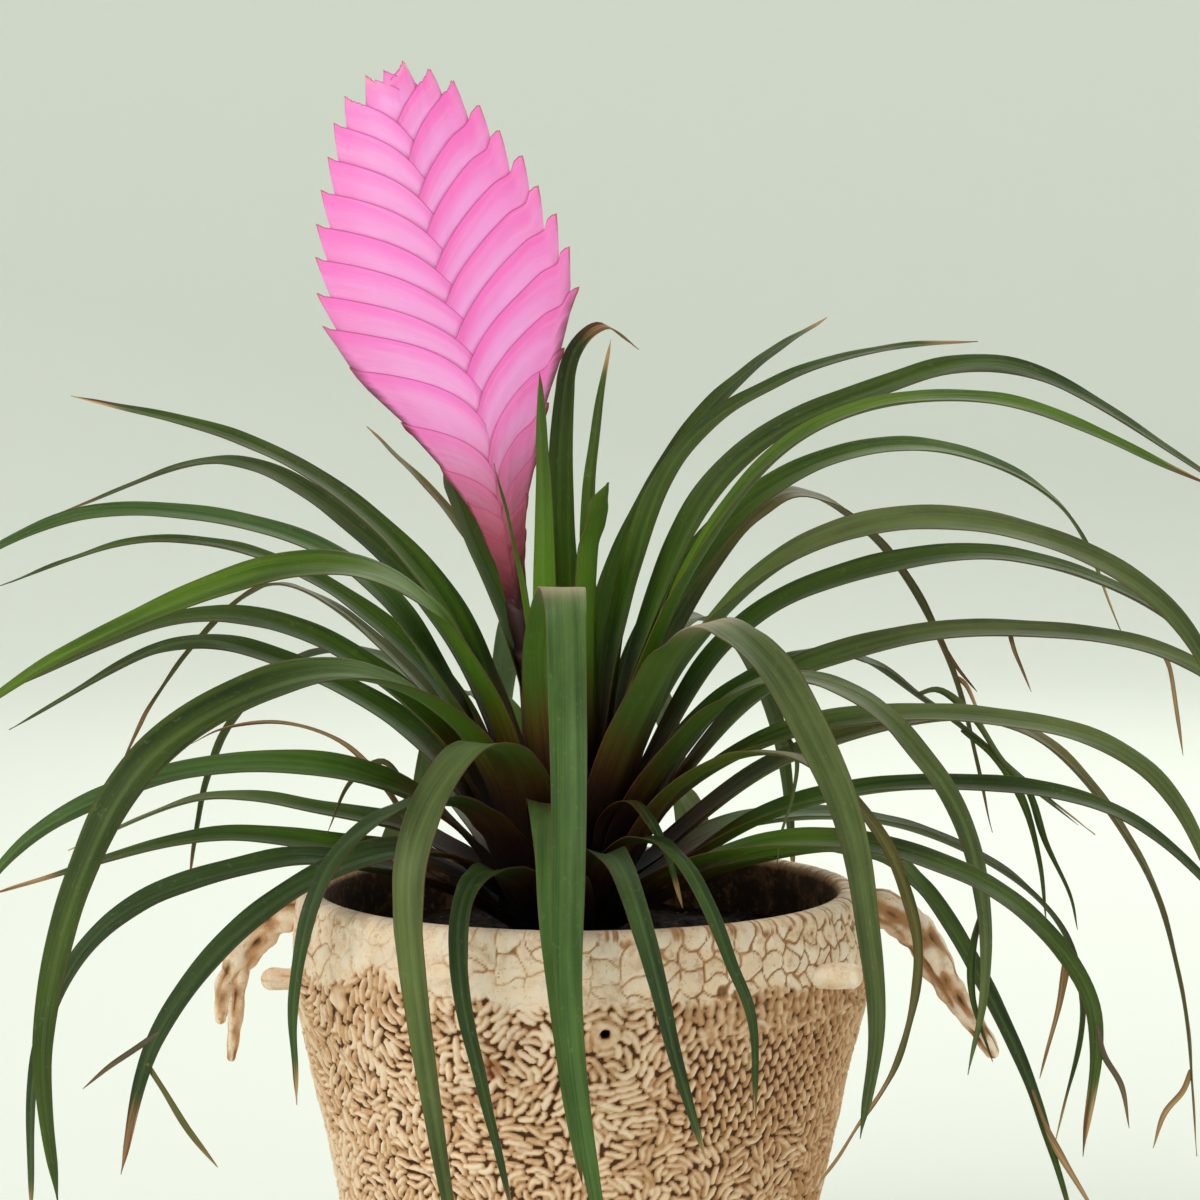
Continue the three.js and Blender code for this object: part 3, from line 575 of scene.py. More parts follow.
class GrainSheet:
    """The pot's wall laid out flat, closed on itself, with the grains packed over it."""

    def __init__(self, rng, length, width):
        self.rng, self.length, self.width = rng, length, width
        self.around = 2 * np.pi * FIELD_RADIUS
        self.columns, self.rows = round(self.around / FIELD_STEP), int(FIELD_TOP / FIELD_STEP) + 1
        self.u = np.arange(self.columns) * self.around / self.columns
        self.v = np.arange(self.rows) * FIELD_STEP
        shape = (self.rows, self.columns)
        self.height, self.tone, self.near = np.zeros(shape), np.full(shape, 0.5), np.full(shape, 9.0)
        self.slant = self.flow()
        for angle, height, radius in BARE:
            beside, above = self.gap(angle, height)
            self.near = np.minimum(self.near, np.maximum(np.hypot(beside, above) - radius, 0))
        self.knit()
        self.spread()

    def gap(self, angle, height):
        """How far every sample is beside a spot and above it."""
        beside = (self.u - round_about(angle) + self.around / 2) % self.around - self.around / 2
        return beside[None, :], (self.v - height)[:, None]

    def waves(self, wave):
        """Smooth random numbers about 0."""
        total = np.zeros((self.rows, self.columns))
        for turn, phase in self.rng.random((FLOW_WAVES, 2)) * 2 * np.pi:
            across = round(self.around / wave * math.cos(turn)) / self.around
            total += np.cos(2 * np.pi * (across * self.u + math.sin(turn) / wave * self.v[:, None]) + phase)
        return total

    def flow(self):
        """Which way the grains lie, as an angle."""
        x, y = (self.waves(17) + 0.9 * self.waves(7.5) for _ in range(2))
        far = np.hypot(x, y)
        x, y = x / far, y / far
        for angle, height, reach, slant in LAYS:
            beside, above = self.gap(angle, height)
            share = np.exp(-((np.hypot(beside, above) / reach) ** 4))
            way = np.arctan2(above, beside) if slant is None else math.radians(slant)
            x, y = x + (np.cos(2 * way) - x) * share, y + (np.sin(2 * way) - y) * share
        return np.arctan2(y, x) / 2

    def cell(self, u, v):
        return int(v / FIELD_STEP), int(u / self.around * self.columns) % self.columns

    def free(self, u, v):
        return 0 <= v < FIELD_TOP and self.near[self.cell(u, v)] > ROOM_ALONG * self.width

    def lay(self, line, tall, wide):
        """Lays one grain along its middle line."""
        line = np.asarray(line, float)
        margin = 1.3 * self.width
        step = self.around / self.columns
        low = np.floor((line.min(0) - margin) / (step, FIELD_STEP)).astype(int)
        high = np.ceil((line.max(0) + margin) / (step, FIELD_STEP)).astype(int)
        cols, rows = np.arange(low[0], high[0]), np.arange(max(low[1], 0), min(high[1], self.rows))
        if not len(rows):
            return
        spots = np.stack(np.meshgrid(cols * step, rows * FIELD_STEP), -1)[:, :, None]
        start, way = line[:-1], np.diff(line, axis=0)
        share = np.clip(((spots - start) * way).sum(-1) / (way**2).sum(-1), 0, 1)
        far = np.hypot(*np.moveaxis(spots - start - share[..., None] * way, -1, 0))
        along = (far.argmin(-1) + 0.5) / len(start) if len(start) > 2 else np.full(far.shape[:2], 0.5)
        far = far.min(-1)
        taper = 1 - 0.24 * smooth(np.abs(2 * along - 1), 0.5, 1)
        grain = tall * np.clip(1 - (far / (0.56 * self.width * wide * taper)) ** 2, 0, 1) ** 0.7
        where = np.ix_(rows, cols % self.columns)
        self.tone[where] = np.where(grain > self.height[where], self.rng.random(), self.tone[where])
        self.height[where] = np.maximum(self.height[where], grain)
        self.near[where] = np.minimum(self.near[where], far)

    def knit(self):
        """Columns of short grains, slanted one way and then the other, like knitting."""
        rng = self.rng
        for low, high, bottom, top, coarse in KNITS:
            for k, u in enumerate(np.arange(round_about(low), round_about(high), 1.8 * coarse)):
                slant = np.pi / 2 + (1 if k % 2 else -1) * 0.3 / coarse
                for v in np.arange(bottom + 2.1 * (k % 2) + rng.uniform(-0.4, 0.4), top, 4.2):
                    way = np.array((math.cos(slant + rng.normal(0, 0.08)), math.sin(slant)))
                    middle = np.array((u, v)) + rng.normal(0, 0.16, 2)
                    self.lay((middle - 1.1 * way, middle + 1.1 * way), rng.uniform(0.82, 1) / coarse**0.5,
                             0.84 * coarse)

    def trace(self, u, v, heading, reach):
        """Follows the lay of the grains from a place, until something is in the way."""
        line = []
        curl = self.rng.normal(0, 0.11)
        for k in range(int(reach / TRACE_STEP)):
            slant = self.slant[self.cell(u, v)] + min(max(curl * k, -1.1), 1.1)
            heading = slant + (np.pi if math.cos(slant - heading) < 0 else 0) + self.rng.normal(0, 0.2)
            u, v = u + TRACE_STEP * math.cos(heading), v + TRACE_STEP * math.sin(heading)
            if not self.free(u, v):
                break
            line.append((u, v))
        return line

    def grow(self, u, v, least):
        """Lays a grain through a place if there is room, and returns places beside it and beyond its ends."""
        if not self.free(u, v):
            return []
        rng = self.rng
        slant = self.slant[self.cell(u, v)]
        half = 0.5 * self.length * rng.uniform(0.6, 1.2)
        line = self.trace(u, v, slant + np.pi, half)[::-1] + [(u, v)] + self.trace(u, v, slant, half)
        if (len(line) - 1) * TRACE_STEP < least:
            return []
        self.lay(line, rng.uniform(0.78, 1), rng.uniform(0.9, 1.04))
        line = np.array(line)
        way = unit(np.gradient(line, axis=0))
        beside = np.stack([-way[:, 1], way[:, 0]], 1) * self.width * 0.86
        ends = (line[-1] + way[-1] * self.width * 0.88, line[0] - way[0] * self.width * 0.88)
        sides = [line[i] + side * beside[i] for side in (1, -1) for i in rng.permutation(len(line))[:3]]
        return [*ends, *sides]

    def spaces(self, room):
        """Places that are still that far from every grain, in random order."""
        rows, cols = np.nonzero(self.near > room)
        for i in self.rng.permutation(len(rows)):
            yield cols[i] * self.around / self.columns, rows[i] * FIELD_STEP

    def spread(self):
        """Packs grains outwards from a first few, then fills what is left, at last with low ones."""
        queue = [(u, v) for u in np.arange(5, self.around, 22.0) for v in np.arange(8, FIELD_TOP, 22.0)]
        while queue:
            queue += self.grow(*queue.pop(0), 0.45 * self.length)
        for least in (0.36 * self.length, 0.2 * self.length, 0.1):
            for place in self.spaces(ROOM * self.width):
                self.grow(*place, least)
        for place in self.spaces(ROOM_LOW * self.width):
            if self.near[self.cell(*place)] > ROOM_LOW * self.width:
                slant = self.slant[self.cell(*place)] + self.rng.normal(0, 0.5)
                way = self.rng.uniform(0.7, 1.4) * np.array((math.cos(slant), math.sin(slant)))
                bow = self.rng.normal(0, 0.3) * np.array((-way[1], way[0]))
                self.lay((place - way, place + bow, place + way), self.rng.uniform(0.36, 0.6), 0.74)


def sample(field, angle, height):
    """The sheet's height at an angle in radians and a height on the pot."""
    rows, columns = field.shape
    u = (angle / (2 * np.pi)) % 1 * columns
    v = np.clip(height / FIELD_STEP, 0, rows - 1.001)
    c, r = np.floor(u).astype(int), np.floor(v).astype(int)
    fu, fv = u - c, v - r
    c0, c1 = c % columns, (c + 1) % columns
    low = mix(field[r, c0], field[r, c1], fu)
    high = mix(field[r + 1, c0], field[r + 1, c1], fu)
    return mix(low, high, fv)


def spot(angle, height, degrees, z, radius):
    """Distance from a spot on the pot's wall, as a share of its radius."""
    across = (np.degrees(angle) - degrees + 180) % 360 - 180
    return np.hypot(np.radians(across) * WALL_RADIUS, height - z) / radius


class Crazing:
    """The uneven cells of the smooth collar."""

    def __init__(self, rng):
        self.seeds = np.empty((0, 2))
        for degrees, height in zip(rng.uniform(0, 360, 9000), rng.uniform(98, 140, 9000)):
            coarse = 1 - smooth(math.cos(math.radians(degrees - 335)), -0.2, 0.8)
            apart = mix(4.5, 7.6, coarse) * rng.uniform(0.7, 1.1)
            far = spot(np.radians(self.seeds[:, 0]), self.seeds[:, 1], degrees, height, 1)
            if not len(far) or far.min() > apart:
                self.seeds = np.vstack([self.seeds, (degrees, height)])

    def gap(self, angle, height):
        """How close a point is to the line between two cells, in millimetres."""
        angle, height = (v.ravel() for v in np.broadcast_arrays(angle, height))
        gap = np.full(angle.shape, 5.0)
        near = np.nonzero(height > 103)[0]
        if len(near):
            a = angle[near] + 0.012 * np.sin(height[near] / 1.3) + 0.01 * np.sin(angle[near] * 61)
            z = height[near] + 0.6 * np.sin(angle[near] * 47) + 0.4 * np.sin(angle[near] * 83 + 1)
            nearest, second = np.full(near.shape, 1e9), np.full(near.shape, 1e9)
            for degrees, level in self.seeds:
                far = spot(a, z, degrees, level, 1)
                second = np.minimum(second, np.maximum(far, nearest))
                nearest = np.minimum(nearest, far)
            gap[near] = second - nearest
        return gap


class PotWall:
    """The cast wall: how far it stands out anywhere, and how it is coloured."""

    def __init__(self, look):
        self.sheet = GrainSheet(random_for("grains"), look.grain_length / MM, look.grain_width / MM)
        self.cells = Crazing(random_for("crazing"))
        self.tall = look.relief / MM
        self.craze = look.craze_depth / MM

    def edge(self, angle):
        """Height where the grains end and the smooth collar begins."""
        nest = 4.2 * np.exp(-(((np.degrees(angle) % 360 - 227) / 7) ** 2))
        waves = 0.9 * np.sin(5 * angle) + 0.8 * np.sin(13 * angle + 1) + 0.5 * np.sin(29 * angle)
        return GRAINS_END + nest + waves

    def surface(self, angle, height):
        """How far the wall stands out, and the values that colour it."""
        shape = np.broadcast(angle, height).shape
        turn = np.degrees(angle) % 360
        grain, tone = sample(self.sheet.height, angle, height), sample(self.sheet.tone, angle, height)
        swell = 0.35 * np.sin(7 * angle + height / 9) * np.sin(4 * angle - height / 13)
        edge = self.edge(angle)
        collar = smooth(height + 0.8 * (grain - 0.5), edge - 1.0, edge + 1.2)
        lines = self.cells.gap(angle, height).reshape(shape)
        strength = smooth(np.sin(3.1 * angle + height / 7) + np.sin(7.3 * angle - height / 5), -0.9, 0.6)
        strength = np.maximum(0.35 + 0.65 * strength, smooth(np.cos(angle - np.radians(330)), 0.2, 0.8))
        cell = np.sqrt(smooth(lines, 0.0, 1.9))
        line = (1 - smooth(lines, 0.05, 0.85)) * strength
        lumps = np.sin(17 * angle + height / 2.3) * np.sin(11 * angle - height / 3.1)
        lumps = lumps + 0.6 * np.sin(41 * angle - height / 1.7) * np.sin(29 * angle + height / 2.1)
        out = (1 - collar) * (self.tall * (grain - 0.55) + swell)
        out = out + collar * (0.15 + 0.16 * lumps + self.craze * (cell - 1) * strength)
        crest = mix(grain, 0.92 + 0.05 * lumps - 0.66 * line, collar)
        for level, low, high in BANDS:
            share = smooth(turn, low - 1, low + 5) * (1 - smooth(turn, high - 5, high + 1))
            ridge = level - 0.4 * np.sin(31 * angle) - 0.25 * np.sin(53 * angle + 1)
            band = np.exp(-(((height - ridge) / (1.0 + 0.2 * np.sin(37 * angle))) ** 2)) * share
            out = np.maximum(out, band * (0.8 + 0.1 * lumps) - 0.4 * (1 - band))
            crest = np.maximum(crest, (0.7 + 0.1 * lumps) * smooth(band, 0.4, 0.9))
        # A smooth cast patch, an eyelet with its hole, and a hollow.
        uneven = 0.16 * np.sin(31 * angle + height) + 0.1 * np.sin(1.9 * height)
        patch = 1 - smooth(spot(angle, height, *PATCH, 4.4) + uneven, 0.45, 1.15)
        out, crest = mix(out, 0.55 + 0.15 * lumps, patch), mix(crest, 0.86 + 0.06 * lumps, patch)
        far = spot(angle, height, *EYELET, 1)
        ring = 1 - smooth(far + 0.3 * np.sin(31 * angle + 1.3 * height), 3.0, 4.1)
        bulge = np.sin(np.clip(far - 0.9, 0, 3) * np.pi / 3)
        out = mix(out, 0.35 + 0.35 * bulge + 0.12 * lumps, ring)
        crest = mix(crest, 0.62 + 0.16 * bulge + 0.05 * lumps, ring)
        hole = 1 - smooth(far, 0.8, 1.3)
        # The hole's crest falls below 0, which the finish turns near black: painted shade in the hole.
        out, crest = mix(out, -2.8, hole), mix(crest, -0.6, hole)
        hollow = 1 - smooth(spot(angle, height, *HOLLOW, 3.4), 0.4, 1)
        out, crest = out - 1.2 * hollow, crest * (1 - 0.25 * hollow)
        for degrees, level, radius in PITS:
            pit = 1 - smooth(spot(angle, height, degrees, level, radius), 0.4, 1.1)
            out, crest = out - 0.8 * pit, crest * (1 - 0.85 * pit)
        fade = smooth(height, 0.5, 5)
        return out * fade, {"crest": crest, "collar": collar, "tone": tone, "hollow": hollow}


def wall_body(wall, heights):
    """A band of the pot's wall between two heights."""
    angle, height = np.meshgrid(turns(COLUMNS), heights)
    out, values = wall.surface(angle, height)
    return turned(radius_at(POT_OUTSIDE, height) + out, angle, height), values


def add_foot(rings, values):
    """Rings under the wall that lead to the middle of the foot."""
    foot = [rings[0] * (share, share, 0) for share in FOOT_SHARES]
    flat = (len(foot), COLUMNS)
    values = {key: np.vstack([np.full(flat, value[0].mean()), value]) for key, value in values.items()}
    return np.concatenate([foot, rings]), values


def add_lip(wall, rings, values):
    """Rings over the wall that go round the rim and down the inside."""
    angle = turns(COLUMNS)
    lip, shade = [], []
    for k, (radius, height) in enumerate(POT_RIM + POT_INSIDE):
        share = max(0, 1 - k / 5)
        out, here = wall.surface(angle, np.full(COLUMNS, min(height, LIP_TOP)))
        lip.append(turned(radius + out * share * 0.8 - 0.15 * share, angle, height))
        # Down the inside the crest falls below 0, which the finish turns near black: painted shade inside the
        # pot.
        here["crest"] = mix(0.82 - 1.05 * smooth(k, 2, 6), here["crest"], share)
        shade.append({**here, "collar": np.ones(COLUMNS)})
    values = {key: np.vstack([value] + [row[key] for row in shade]) for key, value in values.items()}
    return np.concatenate([rings, lip]), values


def cast_finish(look, name="cast clay"):
    f = Finish(name)
    crest, collar, tone = f.value("crest"), f.value("collar"), f.value("tone")
    clouds, mottle, specks = f.noise(38, 3, 0.55), f.noise(210, 3, 0.6), f.noise(900, 3, 0.7)
    stain, grain = f.noise(120, 4, 0.65, 0.6), f.noise(420, 2, 0.6)
    height = crest + (grain - 0.5) * 0.22 + (tone - 0.5) * 0.28 * (1 - collar)
    # side: 0 on the pot's left, 1 on its right. The cream and the tan darken towards the right: painted
    # shade, as if the light came from the left.
    side = f.ease(f.node("SeparateXYZ", None, {0: f.place}, "X"), -0.03, 0.08)
    cream = f.blend(side * (0.75 - 0.45 * collar), look.cream, tint(202, 158, 108))
    tan = f.blend(side * 0.75, look.tan, tint(158, 106, 62))
    # From the groove colour down in the relief to cream on the raised parts and palest on the highest tops:
    # partly the cast finish's own colours and partly painted shade in the grooves.
    deep = f.blend(f.ease(height, 0.1, 0.5), look.groove, tan)
    # pale: a painted highlight in cloudy patches on the raised parts of the pot's left side.
    pale = f.ease(clouds, 0.5, 0.72) * f.ease(height, 0.55, 0.95) * (1 - side)
    worn = f.ease(mottle, 0.56, 0.38) * f.ease(height, 0.5, 0.8) * collar
    colour = f.paint(
        deep,
        (f.ease(height + (clouds - 0.5) * 0.5 + (mottle - 0.5) * 0.5, 0.46, 0.98), cream),
        (f.ease(height + (mottle - 0.5) * 0.5, 0.9, 1.15) * 0.5 * (1 - collar), tint(255, 236, 214)),
        # Near black where the crest is below 0, inside the pot and in the eyelet's hole: painted shade.
        (f.ease(crest, 0.0, -0.4), tint(14, 8, 6)),
        (f.value("hollow") * 0.7, tint(158, 96, 44)),
        (f.ease(stain, 0.54, 0.74) * (0.45 - 0.1 * collar), tint(176, 126, 84)),
        (f.ease(specks, 0.6, 0.74) * 0.7 * collar, tint(112, 72, 46)),
        (f.ease(f.noise(330, 4, 0.75), 0.52, 0.66) * 0.4 * collar, tint(166, 116, 82)),
        (f.ease(f.noise(75, 4, 0.7), 0.52, 0.72) * 0.5 * collar, tint(170, 126, 90)),
        # Painted highlight on the left side.
        (pale * 0.4, tint(252, 228, 206)),
        (worn * 0.6, tint(255, 240, 222)),
    )
    rough = 0.78 - 0.16 * f.ease(height, 0.5, 1.0) + (specks - 0.5) * 0.15
    return f.close(colour, rough, f.bump(grain * 0.6 + specks * 0.4, 0.0006, 0.5), Specular_IOR_Level=0.3)


class QUILL_PLANT_OT_pot(bpy.types.Operator):
    """Builds the cast pot: the knotted wall in three bands and the smooth crazed collar"""

    bl_idname = "quill_plant.pot"
    bl_label = "Cast pot"

    def execute(self, context):
        look = context.scene.quill_pot
        wall, finish = PotWall(look), cast_finish(look)
        for name, heights in POT_BANDS.items():
            band = Body()
            rings, values = wall_body(wall, np.linspace(*heights))
            if name == "lower":
                rings, values = add_foot(rings, values)
            elif name == "collar":
                rings, values = add_lip(wall, rings, values)
            band.add(rings, values, caps=False)
            if name == "lower":
                band.faces.append(list(range(COLUMNS - 1, -1, -1)))
            band.piece("pot_" + name, finish, ["pot"])
        return {"FINISHED"}


def twig(body, rng, points, radii, count, sides, rough, pale):
    """A knobbly round arm along a curve, its radii spaced evenly along it."""
    fine, length = curve(points, TWIG_STEPS)
    t = 1 - (1 - np.linspace(0, 1, count)) ** 1.6
    track = np.stack([np.interp(t, np.linspace(0, 1, TWIG_STEPS), part) for part in fine.T], -1)
    across, over = frames(track)
    angle, run = turns(sides), t[:, None] * length
    radius = np.interp(t, np.linspace(0, 1, len(radii)), radii)
    from_end = np.clip((1 - t) * length / radii[-1], 0, 1)
    radius = (radius * np.sqrt(np.clip(1 - (1 - from_end) ** 2, 0.004, 1)))[:, None]
    lumps = ripple(rng, run, (5.5, 9, 14)) + ripple(rng, angle * 3 + 0.5, (2.1, 3.14))
    lumps = lumps + np.sin(3 * angle + run / 4) + 0.5 * np.sin(5 * angle - run / 1.7)
    swing = radius * (1 + rough * lumps * from_end[:, None])
    crest = np.clip(0.66 + 0.26 * lumps + pale, 0, 1.2)
    body.add(hoops(track, across, over, swing * np.cos(angle), swing * np.sin(angle)),
             {"crest": crest, "collar": 1, "tone": 0.5, "hollow": 0})


class QUILL_PLANT_OT_pot_arms(bpy.types.Operator):
    """Builds the rough arms and short pegs that hang at the pot's sides"""

    bl_idname = "quill_plant.pot_arms"
    bl_label = "Pot arms"

    def execute(self, context):
        rng = random_for("arms")
        body = Body()
        for arm in ARMS:
            twig(body, rng, *arm)
        body.piece("pot_arms", cast_finish(context.scene.quill_pot, "cast clay of the arms"), ["pot"])
        return {"FINISHED"}


# ---- Soil and crown ----
# Waves of the soil's surface: their lengths to the right and back, height and shifts.
SOIL_LUMPS = ((4.1, 3.7, 1, 0.3, 1.1), (2.3, 2.7, 0.8, 2, 0.2), (1.4, 1.2, 0.5, 1, 4), (7, 9, 1, 0.5, 2.5))
SOIL_RADIUS = 63.6
SOIL_RINGS, SOIL_SIDES = 46, 150
CROWN_ROWS, CROWN_SIDES = 60, 72


class QUILL_PLANT_OT_soil(bpy.types.Operator):
    """Builds the dark, crumbly soil"""

    bl_idname = "quill_plant.soil"
    bl_label = "Soil"

    def execute(self, context):
        rng = random_for("soil")
        share, angle = np.linspace(0.02, 1, SOIL_RINGS)[:, None], turns(SOIL_SIDES)
        radius = SOIL_RADIUS * share + 0 * angle
        x, y = radius * np.cos(angle), radius * np.sin(angle)
        lumps = sum(np.sin(x / a + p) * np.sin(y / b + q) * c for a, b, c, p, q in SOIL_LUMPS)
        lumps = lumps + rng.normal(0, 0.28, radius.shape)
        radii, heights = zip(*SOIL_TOP)
        top = stacked(x, y, np.interp(radius, radii, heights) + 0.7 * lumps * smooth(share, 0, 0.1))
        side = [top[-1] * (1, 1, 0) + (0, 0, z) for z in (110, 104)]
        body = Body()
        body.add(np.concatenate([top, side]), {"crest": np.vstack([lumps, lumps[-2:]])})
        f = Finish("potting soil")
        bits = f.noise(420, 4, 0.7)
        colour = f.paint(tint(11, 7, 5), (f.ease(bits, 0.35, 0.7), tint(46, 31, 22)),
                         (f.ease(f.noise(260), 0.66, 0.75), tint(122, 92, 64)))
        finish = f.close(colour, 0.95 - 0.2 * bits, f.bump(bits, 0.002, 0.8), Specular_IOR_Level=0.08)
        body.piece("soil_bed", finish, ["soil"])
        return {"FINISHED"}


class QUILL_PLANT_OT_crown(bpy.types.Operator):
    """Builds the dark crown that the leaves clasp"""

    bl_idname = "quill_plant.crown"
    bl_label = "Crown"

    def execute(self, context):
        heights, angle = np.linspace(116, 166.5, CROWN_ROWS)[:, None], turns(CROWN_SIDES)
        ridges = np.abs(np.sin(4.5 * angle + heights / 9)) ** 0.6
        radius = np.maximum(radius_at(CROWN_SHAPE, heights) - 0.9 + 0.9 * ridges, 0.3)
        body = Body()
        body.add(turned(radius, angle, heights) + (CROWN_X, 0, 0), {"crest": ridges})
        f = Finish("crown sheaths")
        streaks = f.noise((300, 300, 30), 3)
        share = f.ease(f.value("crest") + (streaks - 0.5), 0.2, 1.1)
        colour = f.blend(share, tint(20, 9, 8), tint(66, 36, 24))
        finish = f.close(colour, 0.5 + 0.2 * streaks, f.bump(streaks, 0.0006, 0.6))
        body.piece("crown_core", finish, ["crown"])
        return {"FINISHED"}


# ---- Leaves ----
BLADE_ROWS = 96
BROAD_BASE = 7.6  # half width of a leaf where it leaves the crown
SHEATH_ROWS = 10
SHEATH_LOW = 115  # no sheath begins below this height
CLASP = 1.1  # how far a leaf's middle line is from the crown where it clasps it
# The leaves are painted darker round the heart: partly their own dark sheaths and partly painted shade.
HEART = (CROWN_X, 0, 126)  # the dark heart of the rosette
STRAND_ROWS, STRAND_SIDES = 40, 10
# The strands' light and dark colours, and over which part of their length they turn dry.
STRAND_TONES = {
    "olive": ((0.16, 0.14, 0.035), (0.07, 0.07, 0.02), (0.55, 1.2)),
    "brown": ((0.14, 0.1, 0.06), (0.06, 0.04, 0.03), (0.3, 1.3)),
    "tan": ((0.36, 0.22, 0.09), (0.2, 0.11, 0.045), (-0.2, 0.6)),
    "deep": (*TONES["deep"][:2], (0.9, 1.1)),
    "grey": (*TONES["grey"][:2], (0.9, 1.1)),
}
BLADE_SIDE = np.sin(np.linspace(-np.pi / 2, np.pi / 2, 11))


def leaf_way(leaf):
    """The middle line of a leaf, its length, and the directions outwards and to its left."""
    turn = math.radians(leaf.turn)
    out = np.array((math.cos(turn), math.sin(turn), 0))
    left = np.array((-out[1], out[0], 0))
    way = ((radius_at(CROWN_SHAPE, leaf.root) + CLASP, leaf.root), *leaf.way)
    stops = [(CROWN_X, 0, height) + out * reach + left * sum(drift) for reach, height, *drift in way]
    return *curve(stops, BLADE_ROWS), out, left


def blade(body, rng, leaf, look):
    """One strap leaf, from the sheath that clasps the crown to its pointed tip."""
    track, length, out, left = leaf_way(leaf)
    sheath = min(look.sheath / MM, leaf.root - SHEATH_LOW)
    drop = np.linspace(1, 0, SHEATH_ROWS, endpoint=False)
    low = leaf.root - sheath * drop
    reach = radius_at(CROWN_SHAPE, low) + CLASP - 0.8 * drop
    path = np.vstack([stacked(CROWN_X, 0, low) + out * reach[:, None], track])
    t = np.concatenate([-drop * sheath / length, np.linspace(0, 1, BLADE_ROWS)])
    run = t * length
    along = unit(np.gradient(path, axis=0))
    flat = unit(left - along * (along @ left)[:, None])
    up = np.cross(along, flat)
    sway = ripple(rng, run, (95,), 0.08) + ripple(rng, run, (47,), 0.02)
    tilt = math.radians(leaf.lean) * smooth(t, 0.05, 0.4) + sway * smooth(t, 0.15, 0.5)
    across = flat * np.cos(tilt)[:, None] - up * np.sin(tilt)[:, None]
    over = up * np.cos(tilt)[:, None] + flat * np.sin(tilt)[:, None]
    s = np.clip(t, 0, 1)
    half = 0.5 * leaf.width * (1 - (0.25 + 0.62 * leaf.tip) * s**2.4)
    half = half * (1 + ripple(rng, run, (48, 77), 0.02))
    broad = 0.5 * leaf.width * (1.3 if leaf.width > 5 else 1.1)
    broad = mix(broad, max(broad, BROAD_BASE), smooth(161 - leaf.root, 0, 8) * smooth(leaf.width, 4.5, 6))
    near = (1 - smooth(run, 5, min(86, 0.5 * length))) * (1 - 0.35 * smooth(-run, 0, sheath + 1))
    half = mix(half, np.maximum(half, broad), near)
    close = mix(0.9, 0.955, leaf.tip)
    half = half * np.clip(1 - smooth(s, close, 1.002), 0.02, 1) ** 0.6
    bend = np.linalg.norm(np.gradient(along, axis=0), axis=1) / np.maximum(np.gradient(run), 0.1)
    bend = np.convolve(np.pad(bend, 4, "edge"), np.ones(9) / 9, "valid")
    fold = 2 * half * mix(0.12, 0.26, smooth(t, 0, 0.35)) * (1 - 0.5 * s)
    fold = fold * (1 - 0.85 * smooth(bend, 0.012, 0.035))
    side = BLADE_SIDE[None, :]
    power = mix(1.8, 1.3, smooth(s, 0.0, 0.25))[:, None]
    wrap = (1 - smooth(run, -2, 20))[:, None]
    girth = (radius_at(CROWN_SHAPE, np.minimum(path[:, 2], leaf.root)) + 1)[:, None]
    swing = np.clip(half[:, None] * side / girth, -1.7, 1.7)
    beside = mix(half[:, None] * side, girth * np.sin(swing), wrap)
    raised = mix(fold[:, None] * np.abs(side) ** power, girth * (1 - np.cos(swing)), wrap)
    waves = np.where(side > 0, ripple(rng, run, (17, 29))[:, None], ripple(rng, run, (19, 27))[:, None])
    wave = look.wave / MM * (0.4 + 0.6 * smooth(leaf.width, 9, 6)) * smooth(s, 0.1, 0.3)[:, None]
    raised = raised + wave * waves * side**2
    thick = mix(look.thickness / MM, look.edge / MM, side**2) * np.clip(half[:, None] / 2.5, 0.25, 1)
    rib = 0.22 * np.exp(-((side / 0.14) ** 2)) * (1 - s[:, None])
    faces = (thick / 2, -thick / 2 - rib)
    upper, under = (hoops(path, across, over, beside, raised + offset) for offset in faces)
    rings = np.concatenate([upper, under[:, ::-1]], 1)
    sides = np.concatenate([side, -side], 1)
    number = rng.random() * 40
    ragged = 0.012 * ripple(rng, sides * 3 + run[:, None] / 6, (1.3, 2.1)) + 0.015 * np.abs(sides)
    heart = np.linalg.norm((rings - HEART) * (1, 1, 0.85), axis=-1)
    light, dark, fresh = TONES[leaf.tone]
    body.add(rings, {
        "place": stacked(np.concatenate([beside, beside[:, ::-1]], 1) * MM, run[:, None] * MM, number),
        "side": sides,
        "dry": smooth(s[:, None] + ragged, leaf.dry - 0.02, leaf.dry + 0.035) if leaf.dry < 1 else 0,
        "heart": np.maximum(heart, 0.85 * run[:, None] + 20),
        "fresh": fresh,
        "worn": np.exp(-(((s - leaf.worn) / 0.026) ** 2))[:, None] if leaf.worn else 0,
        "under": np.repeat((0, 1), side.size)[None, :],
        "light": light,
        "dark": dark,
    })


